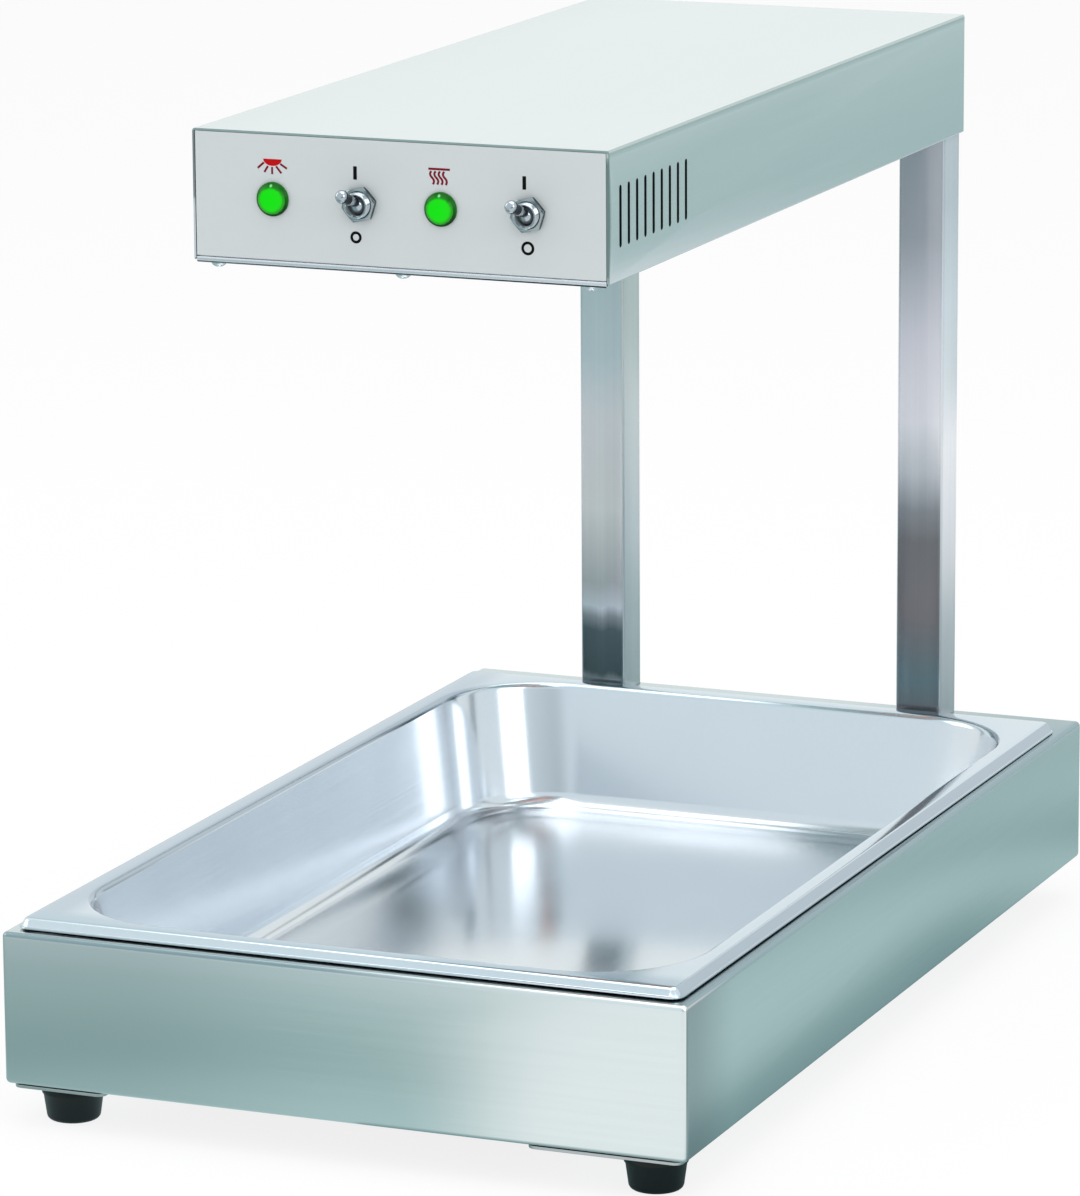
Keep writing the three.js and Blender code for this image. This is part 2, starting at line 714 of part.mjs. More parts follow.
const heaterHeight = troughBottom + heaterRise;
const heaterAcross = [-heaterSpacing / 2, heaterSpacing / 2];
function endPlate(front) {
  const [foot, top] = [reflectorFoot - fitGap, reflectorTop - fitGap];
  const height = reflectorHeight - reflectorSheet - fitGap;
  const shape = new THREE.Shape();
  shape.moveTo(-foot, 0);
  shape.lineTo(-top, -height);
  shape.lineTo(top, -height);
  shape.lineTo(foot, 0);
  const plate = swept(shape, front, endPlateSheet, troughBottom);
  return cut(plate, heaterAcross.map(x => rod('y', capRadius + fitGap,
    [x, front - cutOverrun, heaterHeight], endPlateSheet + 2 * cutOverrun, roundSides)));
}
const frontEndPlate = reflectorFront + endPlateInset;
const rearEndPlate = reflectorRear - endPlateInset - endPlateSheet;
node('reflector_end_front', endPlate(frontEndPlate), polishedSteel());
node('reflector_end_rear', endPlate(rearEndPlate), polishedSteel());

// Infrared tubes between ceramic caps that sit in the end plates
const frontCapStart = frontEndPlate + endPlateSheet + capPlateReach - capLength;
const rearCapStart = rearEndPlate - capPlateReach;
const heaterStart = frontCapStart + capLength + fitGap;
const heaterLength = rearCapStart - fitGap - heaterStart;
for (const [name, x] of [['left', heaterAcross[0]], ['right', heaterAcross[1]]]) {
  node(`infrared_tube_${name}`,
    rod('y', heaterRadius, [x, heaterStart, heaterHeight], heaterLength, roundSides), quartz());
  for (const [end, start] of [['front', frontCapStart], ['rear', rearCapStart]]) {
    node(`heater_cap_${name}_${end}`,
      rod('y', capRadius, [x, start, heaterHeight], capLength, roundSides), ceramic());
  }
}

// Lamp in two ceramic holders that hang from the reflector's roof
const lampHeight = troughBottom + lampRise;
const lampMiddle = (windowFront + windowRear) / 2;
const holderTop = troughTop - reflectorSheet - fitGap;
const holderStarts = {
  front: lampMiddle - lampLength / 2 - fitGap - lampHolderLength,
  rear: lampMiddle + lampLength / 2 + fitGap,
};
node('lamp_tube', rod('y', lampRadius, [0, lampMiddle - lampLength / 2, lampHeight],
  lampLength, roundSides), quartz());
for (const [end, y] of Object.entries(holderStarts)) {
  node(`lamp_holder_${end}`, block(
    [-lampHolderWidth / 2, y, holderTop - lampHolderDrop],
    [lampHolderWidth / 2, y + lampHolderLength, holderTop]), ceramic());
}

// Wire guard that lies on the cover round the window
function wireGuard() {
  const across = windowWidth / 2 + guardEdgeRadius + fitGap;
  const ends = [windowFront - guardEdgeRadius - fitGap, windowRear + guardEdgeRadius + fitGap];
  const height = troughBottom + guardEdgeRadius;
  const edges = [-across, across].map(x => rod('y', guardEdgeRadius,
    [x, ends[0], height], ends[1] - ends[0], guardSides));
  const bars = [];
  for (let i = 0; i < guardBarCount; i++) {
    const y = ends[0] + guardEdgeRadius
      + (ends[1] - ends[0] - 2 * guardEdgeRadius) * i / (guardBarCount - 1);
    bars.push(rod('x', guardBarRadius, [-across, y, height], 2 * across, guardSides));
  }
  return join([...edges, ...bars]);
}
node('wire_guard', wireGuard(), chromeSteel());

// Heat shield: a roof over the reflector whose folded sides stand on the cover
const shieldFront = reflectorFront + shieldEndInset;
const shieldRear = reflectorRear - shieldEndInset;
node('heat_shield', cut(
  block([-shieldWidth / 2, shieldFront, troughBottom], [shieldWidth / 2, shieldRear, shieldTop]),
  [block([-shieldWidth / 2 + shieldSheet, shieldFront - cutOverrun, troughBottom - cutOverrun],
    [shieldWidth / 2 - shieldSheet, shieldRear + cutOverrun, shieldTop - shieldSheet])]),
zincSteel());

// Toggle switches: lever, threaded bushing, nut and case
const mouth = hoodFront - bushingReach;
const bushingPlateFront = panelBack + fitGap;
const caseFront = bushingPlateFront + bushingPlate + fitGap;
const nutFront = hoodFront - fitGap - nutThickness;
const leverPivot = hoodFront - leverPivotDepth;
const caseRear = caseFront + toggleCaseDepth;

function toggleBushing() {
  const plate = block(
    [-toggleCaseWidth / 2, bushingPlateFront, -toggleCaseHeight / 2],
    [toggleCaseWidth / 2, bushingPlateFront + bushingPlate, toggleCaseHeight / 2]);
  const length = bushingPlateFront + bushingPlate - mouth;
  const tube = rod('y', bushingRadius, [0, mouth, 0], length, roundSides);
  const bore = rod('y', bushingBore, [0, mouth - cutOverrun, 0], length + 2 * cutOverrun,
    roundSides);
  return cut(join([plate, tube]), [bore]);
}

function toggleCase() {
  const box = block([-toggleCaseWidth / 2, caseFront, -toggleCaseHeight / 2],
    [toggleCaseWidth / 2, caseRear, toggleCaseHeight / 2]);
  const tabs = [-toggleTabSpacing / 2, toggleTabSpacing / 2].map(z => block(
    [-toggleTabWidth / 2, caseRear - toggleTabThickness, z - toggleTabThickness / 2],
    [toggleTabWidth / 2, caseRear + toggleTabLength, z + toggleTabThickness / 2]));
  return join([box, ...tabs]);
}

function pierced(outer, radius, start, length) {
  return cut(outer, [rod('y', radius, [0, start - cutOverrun, 0], length + 2 * cutOverrun,
    roundSides)]);
}

// The lever is turned about its length and pivots on a ball inside the bushing
function toggleLever() {
  const ball = bushingBore - fitGap;
  const neckStart = Math.sqrt(ball * ball - leverNeckRadius * leverNeckRadius);
  const profile = [[0, -ball]];
  for (const turn of [Math.PI / 6, Math.PI / 3, Math.PI / 2, Math.PI * 2 / 3]) {
    profile.push([ball * Math.sin(turn), -ball * Math.cos(turn)]);
  }
  profile.push([leverNeckRadius, neckStart]);
  profile.push([leverShoulderRadius, leverLength - leverTipRadius]);
  for (const turn of [Math.PI / 2, Math.PI / 3, Math.PI / 6]) {
    profile.push([leverTipRadius * Math.sin(turn), leverLength + leverTipRadius * Math.cos(turn)]);
  }
  profile.push([0, leverLength + leverTipRadius]);
  return turnedSolid('y', profile, [0, 0, 0], smallSides).rotate([0, 0, 180]);
}

function addToggle(label, across) {
  const group = new THREE.Group();
  group.position.set(across, 0, controlHeight);
  warmer.add(group);
  node(`toggle_case_${label}`, toggleCase(), darkPlastic(), group);
  node(`toggle_bushing_${label}`, toggleBushing(), chromeSteel(), group);
  node(`toggle_nut_${label}`, pierced(
    hexagon('y', nutAcrossFlats, [0, nutFront, 0], nutThickness, nutTurns[label]),
    bushingRadius + fitGap, nutFront, nutThickness), chromeSteel(), group);
  const lever = node(`toggle_lever_${label}`, toggleLever(), chromeSteel(), group);
  lever.position.y = leverPivot;
  lever.rotation.x = -THREE.MathUtils.degToRad(leverTilt);
}
addToggle('light', lightToggleAcross);
addToggle('heat', heatToggleAcross);

// Pilot lamps: a green lens whose spigot plugs into a lamp body behind the panel
function pilotLens() {
  const back = hoodFront - fitGap;
  return turnedSolid('y', [
    [0, back - lensFlange - lensCrown],
    [lensFaceRadius, back - lensFlange - lensCrown * lensBevelShare],
    [lensRadius, back - lensFlange],
    [lensRadius, back],
    [lensSpigotRadius, back],
    [lensSpigotRadius, back + lensSpigotLength],
    [0, back + lensSpigotLength],
  ], [0, 0, 0]);
}

function pilotBody() {
  const front = hoodFront;
  const rear = front + pilotBodyLength;
  const tabs = [-pilotBodyRadius / 2, pilotBodyRadius / 2].map(x => block(
    [x - toggleTabThickness / 2, rear - toggleTabThickness, -toggleTabWidth / 2],
    [x + toggleTabThickness / 2, rear + toggleTabLength, toggleTabWidth / 2]));
  const cup = turnedSolid('y', [
    [0, front + pilotFloor],
    [lensSpigotRadius + fitGap, front + pilotFloor],
    [lensSpigotRadius + fitGap, front],
    [pilotBodyRadius, front],
    [pilotBodyRadius, rear],
    [0, rear],
  ], [0, 0, 0]);
  return join([cup, ...tabs]);
}

function addPilot(label, across) {
  const group = new THREE.Group();
  group.position.set(across, 0, controlHeight);
  warmer.add(group);
  node(`pilot_lens_${label}`, pilotLens(), greenLens(), group);
  node(`pilot_body_${label}`, pilotBody(), darkPlastic(), group);
}
addPilot('light', lightPilotAcross);
addPilot('heat', heatPilotAcross);

// Cable gland in the rear panel: threaded body, dome nut outside and locknut inside
const glandSeat = baseDepth + fitGap;
const glandInner = rearPanelFront - fitGap - glandLocknutThickness;
const glandGroup = new THREE.Group();
glandGroup.position.set(glandAcross, 0, glandHeight);
warmer.add(glandGroup);
const glandNeckEnd = glandSeat + glandHexThickness + glandDomeLength / 2;
node('gland_body', pierced(join([
  rod('y', glandThreadRadius, [0, glandInner, 0], glandSeat - glandInner, roundSides),
  hexagon('y', glandHexAcrossFlats, [0, glandSeat, 0], glandHexThickness),
  rod('y', glandDomeNeck, [0, glandSeat, 0], glandNeckEnd - glandSeat, roundSides),
]), glandBore, glandInner, glandNeckEnd - glandInner), darkPlastic(), glandGroup);
const domeStart = glandSeat + glandHexThickness + fitGap;
const domeEnd = glandSeat + glandHexThickness + glandDomeLength;
const domeShoulder = domeStart + (domeEnd - domeStart) * glandShoulderShare;
const domeInner = glandDomeNeck + fitGap;
const domeOuter = glandThreadRadius + fitGap;
node('gland_nut', turnedSolid('y', [
  [domeInner, domeStart],
  [domeOuter, domeStart],
  [domeOuter, domeShoulder],
  [glandDomeNeck, domeEnd],
  [glandBore, domeEnd],
  [glandBore, glandNeckEnd + fitGap],
  [domeInner, glandNeckEnd + fitGap],
  [domeInner, domeStart],
], [0, 0, 0]), darkPlastic(), glandGroup);
node('gland_locknut', pierced(
  hexagon('y', glandLocknutAcrossFlats, [0, glandInner, 0], glandLocknutThickness),
  glandThreadRadius + fitGap, glandInner, glandLocknutThickness), darkPlastic(), glandGroup);

// Terminal block on the cover, between the rear caps and the rear panel
const terminalFront = baseDepth - terminalRearInset - terminalDepth;
const terminalTop = troughBottom + terminalHeight;
const terminalAcross = [-terminalPitch, 0, terminalPitch];
const terminalMiddle = terminalFront + terminalDepth / 2;
node('terminal_block', cut(
  block([-terminalWidth / 2, terminalFront, troughBottom],
    [terminalWidth / 2, terminalFront + terminalDepth, terminalTop]),
  terminalAcross.map(x => rod('z', terminalScrewRadius,
    [x, terminalMiddle, terminalTop - terminalScrewDepth],
    terminalScrewDepth + cutOverrun))), ceramic());

// Earth stud with its nut
node('earth_stud', join([
  hexagon('z', 2 * earthBaseRadius, [earthStudAcross, terminalMiddle, troughBottom],
    earthBaseHeight),
  rod('z', earthStudRadius, [earthStudAcross, terminalMiddle, troughBottom], earthStudHeight),
  hexagon('z', earthNutAcrossFlats,
    [earthStudAcross, terminalMiddle, troughBottom + earthNutRise], earthNutHeight),
]), brass());

// Wires: from the terminal block over the heat shield to the controls
function wire(points) {
  const path = new THREE.CatmullRomCurve3(points.map(point => new THREE.Vector3(...point)));
  const section = new THREE.Shape();
  section.absarc(0, 0, wireRadius, 0, Math.PI * 2);
  const geometry = new THREE.ExtrudeGeometry(section, {
    extrudePath: path, steps: wireSteps, curveSegments: wireSides / 2, bevelEnabled: false,
  });
  return solidOf(geometry);
}
const wireHeight = shieldTop + wireClearance;
const wireRise = reflectorRear + wireClearance;
const wireDrop = caseRear + toggleTabLength + wireClearance;
function overShield(fromX, toX, toY, toZ) {
  return wire([
    [fromX, terminalFront - fitGap, troughBottom + terminalHeight / 2],
    [fromX, terminalFront - fitGap - 2 * wireRadius, troughBottom + terminalHeight / 2],
    [fromX, wireRise, troughBottom + terminalHeight],
    [fromX, wireRise, troughTop],
    [fromX, shieldRear, wireHeight],
    [fromX, shieldRear - wireBend, wireHeight],
    [toX, shieldFront + wireBend, wireHeight],
    [toX, shieldFront, wireHeight],
    [toX, wireDrop + wireClearance, wireHeight - wireClearance],
    [toX, toY + wireClearance, toZ],
    [toX, toY, toZ],
  ]);
}
const toggleTabEnd = caseRear + toggleTabLength + fitGap;
const toggleTabHeight = controlHeight + toggleTabSpacing / 2;
const pilotTabEnd = hoodFront + pilotBodyLength + toggleTabLength + fitGap;
node('supply_wire_light', overShield(terminalAcross[0], lightToggleAcross, toggleTabEnd,
  toggleTabHeight), wireCover(0x6b3a1e));
node('supply_wire_heat', overShield(terminalAcross[2], heatToggleAcross, toggleTabEnd,
  toggleTabHeight), wireCover(0x1b1b1b));
node('neutral_wire', overShield(terminalAcross[1], heatPilotAcross - pilotBodyRadius / 2,
  pilotTabEnd, controlHeight), wireCover(0x2a55a5));

export default warmer;
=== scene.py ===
import math
import bmesh
import bpy
from mathutils import Matrix, Vector


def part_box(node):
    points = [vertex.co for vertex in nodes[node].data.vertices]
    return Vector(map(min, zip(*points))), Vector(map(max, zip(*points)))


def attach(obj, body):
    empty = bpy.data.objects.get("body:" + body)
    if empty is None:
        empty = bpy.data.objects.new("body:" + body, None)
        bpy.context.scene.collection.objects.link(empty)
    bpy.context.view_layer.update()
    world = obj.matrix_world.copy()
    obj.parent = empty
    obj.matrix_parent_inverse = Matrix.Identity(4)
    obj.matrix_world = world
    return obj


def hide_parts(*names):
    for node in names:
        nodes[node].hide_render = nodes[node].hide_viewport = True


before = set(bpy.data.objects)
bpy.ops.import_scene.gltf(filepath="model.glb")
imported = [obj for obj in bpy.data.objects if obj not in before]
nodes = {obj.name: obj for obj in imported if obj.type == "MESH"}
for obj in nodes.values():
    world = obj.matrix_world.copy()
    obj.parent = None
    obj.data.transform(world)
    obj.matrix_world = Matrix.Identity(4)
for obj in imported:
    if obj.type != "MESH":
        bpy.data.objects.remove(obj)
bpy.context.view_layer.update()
mm = 0.001                        # sizes of pieces are in millimetres, places in shading and studio in metres
print("frame loaded:", len(nodes), "nodes")

# the photograph's angle on a 1080 x 1196 frame, focal length in its pixels
view = {"place": (1.15087, -2.82588, 0.88698), "turn": 22.5231, "dip": 12.6799, "roll": -0.3499,
        "focal": 6480.1, "sensor": 36, "frameHeight": 1196}


def addCamera():
    camera = bpy.data.objects.new("camera", bpy.data.cameras.new("camera"))
    bpy.context.scene.collection.objects.link(camera)
    camera.data.sensor_width = view["sensor"]
    camera.data.lens = view["focal"] * view["sensor"] / view["frameHeight"]
    turn, dip = math.radians(view["turn"]), math.radians(view["dip"])
    aim = Vector((-math.sin(turn) * math.cos(dip), math.cos(turn) * math.cos(dip), -math.sin(dip)))
    side = Vector((math.cos(turn), math.sin(turn), 0))
    rise = side.cross(aim)
    roll = Matrix.Rotation(math.radians(-view["roll"]), 3, aim)
    basis = Matrix((roll @ side, roll @ rise, -aim)).transposed()
    camera.matrix_world = Matrix.Translation(view["place"]) @ basis.to_4x4()
    bpy.context.scene.camera = camera


addCamera()
print("camera placed")


class Socket:                     # an output of a shader node, with Python's arithmetic on it
    def __init__(self, finish, socket):
        self.finish, self.socket = finish, socket

    def __add__(self, other):
        return self.finish.maths("ADD", self, other)

    def __radd__(self, other):
        return self.finish.maths("ADD", other, self)

    def __sub__(self, other):
        return self.finish.maths("SUBTRACT", self, other)

    def __rsub__(self, other):
        return self.finish.maths("SUBTRACT", other, self)

    def __mul__(self, other):
        return self.finish.maths("MULTIPLY", self, other)

    def __gt__(self, other):
        return self.finish.maths("GREATER_THAN", self, other)


def rgb(red, green, blue):        # a tone as it is read off a screen, made linear
    def linear(value):
        value /= 255
        return value / 12.92 if value <= 0.04045 else ((value + 0.055) / 1.055) ** 2.4
    return (linear(red), linear(green), linear(blue), 1)


class Finish:                     # the nodes of one material, or of the world
    def __init__(self, owner):
        owner.use_nodes = True
        self.owner, self.tree = owner, owner.node_tree
        self.tree.nodes.clear()

    def add(self, kind, sockets=(), output=0, **settings):
        node = self.tree.nodes.new(kind)
        for name, value in settings.items():
            setattr(node, name, value)
        for name, value in dict(sockets).items():
            if isinstance(value, Socket):
                self.tree.links.new(value.socket, node.inputs[name])
            else:
                node.inputs[name].default_value = value
        return Socket(self, node.outputs[output]) if node.outputs else node

    def maths(self, operation, first, second=0):
        return self.add("ShaderNodeMath", {0: first, 1: second}, operation=operation)

    def measure(self, operation, *vectors):
        return self.add("ShaderNodeVectorMath", enumerate(vectors), "Value", operation=operation)

    def ramp(self, stops, share):
        result = self.add("ShaderNodeValToRGB", {0: share})
        elements = result.socket.node.color_ramp.elements
        while len(elements) < len(stops):
            elements.new(0.5)
        for element, (place, tone) in zip(elements, stops):
            element.position, element.color = place, rgb(*tone)
        return result

    def blend(self, share, low, high, way="MIX"):      # three numbers are a screen's tone, four are linear
        low, high = [rgb(*tone) if isinstance(tone, tuple) and len(tone) == 3 else tone
                     for tone in (low, high)]
        return self.add("ShaderNodeMix", {0: share, 6: low, 7: high}, 2, data_type="RGBA", blend_type=way)

    def place(self, scale=(1, 1, 1), centre=(0, 0, 0)):
        here = self.add("ShaderNodeTexCoord", output="Object")
        shift = tuple(-c * s for c, s in zip(centre, scale))
        return self.add("ShaderNodeMapping", {"Vector": here, "Scale": scale, "Location": shift})

    def split(self, vector, axes="xyz"):
        return [self.add("ShaderNodeSeparateXYZ", {0: vector}, "xyz".index(axis)) for axis in axes]

    def normal(self, axes="xyz"):
        return self.split(self.add("ShaderNodeNewGeometry", output="Normal"), axes)

    def noise(self, scale, detail=2):
        scale = scale if isinstance(scale, list) else [scale] * 3
        return self.add("ShaderNodeTexNoise", {"Vector": self.place(scale), "Scale": 1, "Detail": detail})

    def bump(self, height, depth, strength):
        return self.add("ShaderNodeBump", {"Height": height, "Distance": depth, "Strength": strength})

    def eased(self, value, first, last, low=0.0, high=1.0, way="SMOOTHSTEP"):
        return self.add("ShaderNodeMapRange", {0: value, 1: first, 2: last, 3: low, 4: high},
                        interpolation_type=way)

    def fading(self, value, first, last, high=1.0, way="SMOOTHSTEP"):
        return self.eased(value, first, last, high, 0.0, way)

    def ray(self, kind):
        return self.add("ShaderNodeLightPath", output="Is %s Ray" % kind)

    def surface(self, sockets):
        self.add("ShaderNodeOutputMaterial", {"Surface": self.add("ShaderNodeBsdfPrincipled", sockets)})
        return self.owner

    def metal(self, colour, roughness, normal, share=1.0):
        return self.surface({"Base Color": colour, "Metallic": share, "Roughness": roughness,
                             "Normal": normal})


def newFinish(name):
    return Finish(bpy.data.materials.new(name))


def varied(value, noise, span):   # a value that wavers with a noise
    return value + (noise - 0.5) * span


def shared(first, second, share):
    return first * share + second * (1 - share)


white = (255, 255, 255)

# sheet steel with a fine grain: streaks are thin across the grain and long along it, per metre
brushed = {"pale": (239, 244, 244), "deep": (223, 230, 230), "fine": 2200, "coarse": 420, "along": 9,
           "cloud": 7, "fineShare": 0.3, "coarseShare": 0.35, "cloudShare": 0.35, "roughness": 0.26,
           "roughnessSpan": 0.05, "depth": 0.008 * mm, "strength": 0.08, "level": 0.7,
           "topShade": (0.35, 1.0), "topFrom": (0.02, 0.16), "topTone": (152, 174, 181),
           "upward": (0.0, 0.4), "forward": (0.05, 0.3)}


def brushedSteel(name, grainAxis, pale=brushed["pale"], deep=brushed["deep"],
                 roughness=brushed["roughness"], topAxis=None, shading=None):
    finish = newFinish(name)

    def streaks(axes):
        return [finish.noise([brushed["along"] if axis in axes else brushed[grain] for axis in "xyz"], 3)
                for grain in ("fine", "coarse")]

    fine, coarse = streaks(grainAxis)
    if topAxis:                   # the top frame's grain runs its own way
        toward, upward = finish.normal("yz")
        level = upward > brushed["level"]
        fine, coarse = [grain * (1 - level) + other * level
                        for grain, other in zip((fine, coarse), streaks(topAxis))]
    tone = fine * brushed["fineShare"] + coarse * brushed["coarseShare"] \
        + finish.noise(brushed["cloud"], 1) * brushed["cloudShare"]
    colour = finish.blend(tone, deep, pale)
    if topAxis:                   # and painted shade makes it darker toward the right, over the bend too
        [across] = finish.split(finish.place(), "x")
        share = finish.eased(across, *brushed["topFrom"], *brushed["topShade"])
        rising = finish.eased(upward, *brushed["upward"]) * finish.fading(0 - toward, *brushed["forward"])
        colour = finish.blend(rising * share, colour, brushed["topTone"])
    if shading:
        colour = shading(finish, colour)
    return finish.metal(colour, varied(roughness, tone, brushed["roughnessSpan"]),
                        finish.bump(fine, brushed["depth"], brushed["strength"]))


# painted shade: the hood's sides are darker along their front edge and under their top bend, in millimetres
hoodShade = {"side": 100.2, "front": -212.65, "low": 394.1, "height": 60, "least": 1.2, "swell": 2.8,
             "share": 0.9, "tone": (104, 130, 127), "bendTone": (150, 174, 173), "bendShare": 0.6,
             "bendStart": 0.01, "bendReach": 4}


def edgeShading(finish, colour):
    across, along, rise = finish.split(finish.place((1 / mm,) * 3))
    beside = finish.maths("ABSOLUTE", across) > hoodShade["side"]
    share = (rise - hoodShade["low"]) * (1 / hoodShade["height"])
    width = hoodShade["least"] + finish.maths("SINE", share * math.pi) * hoodShade["swell"]
    near = finish.fading(along - hoodShade["front"], 0.0, width, hoodShade["share"])
    under = finish.fading(1 - share, hoodShade["bendStart"], hoodShade["bendReach"] / hoodShade["height"],
                          hoodShade["bendShare"], "LINEAR")
    colour = finish.blend(under * beside, colour, hoodShade["bendTone"])
    return finish.blend(near * beside, colour, hoodShade["tone"])


# painted shade: the base's front and its upper bend are darker toward the left, its sides toward the front
# corners
baseShade = {"facing": 0.8, "wall": (-0.12, 0.02), "wallTone": (212, 219, 219),
             "bend": (-0.03, 0.11), "bendTone": (146, 166, 171), "forward": (0.1, 0.3),
             "upward": (0.08, 0.3), "side": (-0.288, -0.225), "sideTone": (196, 200, 202)}


def frontShading(finish, colour):
    sideways, toward, upward = finish.normal()
    across, along = finish.split(finish.place(), "xy")
    forward = 0 - toward
    corner = (finish.maths("ABSOLUTE", sideways) > baseShade["facing"]) \
        * finish.fading(along, *baseShade["side"])
    wall = (forward > baseShade["facing"]) * finish.fading(across, *baseShade["wall"])
    bend = finish.eased(forward, *baseShade["forward"]) * finish.eased(upward, *baseShade["upward"]) \
        * finish.fading(across, *baseShade["bend"])
    for share, tone in ((corner, "sideTone"), (wall, "wallTone"), (bend, "bendTone")):
        colour = finish.blend(share, colour, baseShade[tone])
    return colour


# drawn tube: fine lines along it; each post mirrors another part of the room, so each has its own tones of
# painted reflection and shade, from the base up to the hood, on its front and on its other faces, and
# painted shade where its corners turn
tube = {"streak": (226, 226, 230), "corner": (118, 134, 138), "cornerShare": 0.15, "roughness": 0.14,
        "roughnessSpan": 0.08, "low": 0.092, "high": 0.452, "waver": 0.025, "fine": 900, "wide": 150,
        "wideShare": 0.6, "along": 2, "facing": 0.8, "turning": 0.2, "metal": 0.33, "frontMetal": 0.5,
        "depth": 0.008 * mm, "strength": 0.1}
leftTube = {"front": [(0.0, (118, 132, 134)), (0.018, (122, 136, 138)), (0.026, (70, 91, 93)),
                      (0.09, (86, 106, 110)), (0.11, (154, 164, 168)), (0.125, (220, 229, 236)),
                      (0.16, (196, 201, 202)), (0.27, (241, 241, 241)),
                      (0.4, (222, 228, 229)), (0.494, (190, 212, 214)), (1.0, (180, 205, 206))],
            "side": [(0.0, (190, 204, 207)), (0.11, (196, 210, 213)), (0.27, (196, 213, 214)),
                     (0.5, (221, 233, 230)), (1.0, (222, 234, 231))]}
rightTube = {"front": [(0.0, (150, 142, 142)), (0.02, (112, 122, 126)), (0.056, (107, 132, 138)),
                       (0.15, (128, 125, 127)), (0.26, (126, 127, 130)), (0.305, (150, 156, 160)),
                       (0.36, (218, 220, 225)), (0.43, (248, 247, 252)), (0.55, (226, 227, 234)),
                       (0.697, (180, 186, 193)), (1.0, (174, 180, 186))],
             "side": [(0.0, (190, 198, 202)), (0.15, (200, 208, 212)), (0.4, (250, 254, 255)),
                      (0.6, (241, 248, 255)), (0.75, (212, 222, 228)), (1.0, (212, 222, 228))]}


def drawnTube(name, tones):
    finish = newFinish(name)
    fine, wide = [finish.noise([tube[grain], tube[grain], tube["along"]]) for grain in ("fine", "wide")]
    [rise] = finish.split(finish.place(), "z")
    share = varied((rise - tube["low"]) * (1 / (tube["high"] - tube["low"])), wide, tube["waver"])
    across, along = finish.normal("xy")
    facing = (0 - along) > tube["facing"]
    turning = finish.maths("ABSOLUTE", across * along) > tube["turning"]
    streaks = finish.blend(shared(wide, fine, tube["wideShare"]), tube["streak"], white)
    # painted reflection and shade up the post, front and sides apart
    colour = finish.blend(facing, finish.ramp(tones["side"], share), finish.ramp(tones["front"], share))
    colour = finish.blend(1.0, colour, streaks, "MULTIPLY")
    colour = finish.blend(turning * tube["cornerShare"], colour, tube["corner"])
    return finish.metal(colour, varied(tube["roughness"], wide, tube["roughnessSpan"]),
                        finish.bump(fine, tube["depth"], tube["strength"]),
                        tube["metal"] + facing * (tube["frontMetal"] - tube["metal"]))


# pressed and polished sheet; the pan's rim has painted shade on its top and on its apron
polished = {"pale": (232, 236, 240), "deep": (218, 223, 229), "wave": 16, "waveShare": 0.6, "scratch": 900,
            "scratchAlong": 12, "roughness": 0.13, "waveSpan": 0.06, "scratchSpan": 0.05, "depth": 0.01 * mm,
            "strength": 0.2, "rimLow": 0.0915, "rimTop": 0.9, "upward": (0.25, 0.45), "forward": (0.2, 0.4),
            "leftEdge": (-0.15, -0.135), "frontEdge": (-0.276, -0.262),
            "rimLeft": (218, 227, 236), "rimRight": (244, 251, 255), "rimFront": (214, 228, 237),
            "apronFront": (244, 251, 253), "apronSide": (206, 214, 222)}


def polishedSteel(name, roughness=polished["roughness"], rim=False):
    finish = newFinish(name)
    wave = finish.noise(polished["wave"])
    scratch = finish.noise([polished["scratch"], polished["scratchAlong"], polished["scratch"]])
    colour = finish.blend(shared(wave, scratch, polished["waveShare"]), polished["deep"], polished["pale"])
    # the rim gets painted shade, deepest on its left and on the apron's sides
    if rim:
        toward, upward = finish.normal("yz")
        across, along, rise = finish.split(finish.place())
        level = finish.eased(upward, *polished["upward"]) * (rise > polished["rimLow"])
        top = finish.blend(finish.eased(across, *polished["leftEdge"]),
                           polished["rimLeft"], polished["rimRight"])
        top = finish.blend(finish.eased(along, *polished["frontEdge"]), polished["rimFront"], top)
        apron = finish.blend(finish.eased(0 - toward, *polished["forward"]),
                             polished["apronSide"], polished["apronFront"])
        rimPaintedShade = finish.blend(upward > polished["rimTop"], apron, top)
        colour = finish.blend(level, colour, rimPaintedShade, "MULTIPLY")
    rough = varied(varied(roughness, wave, polished["waveSpan"]), scratch, polished["scratchSpan"])
    return finish.metal(colour, rough, finish.bump(scratch, polished["depth"], polished["strength"]))


# plated metal, with a fine speckle and soft clouds
plated = {"grain": 700, "cloud": 25, "speckleShare": 0.4, "roughnessSpan": 0.2, "depth": 0.01 * mm,
          "strength": 0.15, "edgeGrain": 600, "edgeWaver": 0.1}


def platedSteel(name, pale, deep, roughness):
    finish = newFinish(name)
    speckle, cloud = finish.noise(plated["grain"], 3), finish.noise(plated["grain"] / plated["cloud"])
    tone = shared(speckle, cloud, plated["speckleShare"])
    return finish.metal(finish.blend(tone, deep, pale), varied(roughness, tone, plated["roughnessSpan"]),
                        finish.bump(speckle, plated["depth"], plated["strength"]))


# plated edge whose tone changes along one axis, between two places, for painted shade
def gradedEdge(name, axis, first, last, stops, roughness=0.45):
    finish = newFinish(name)
    [place] = finish.split(finish.place(), axis)
    speckle = finish.noise(plated["edgeGrain"], 3)
    tone = finish.ramp(stops, varied((place - first) * (1 / (last - first)), speckle, plated["edgeWaver"]))
    return finish.metal(tone, varied(roughness, speckle, plated["roughnessSpan"]),
                        finish.bump(speckle, plated["depth"], plated["strength"]))


# plastic, rubber, ceramic, ink and film; depth is that of the speckle in millimetres
plain = {"cloud": 40, "speckleShare": 0.5, "roughnessSpan": 0.15, "strength": 0.4}


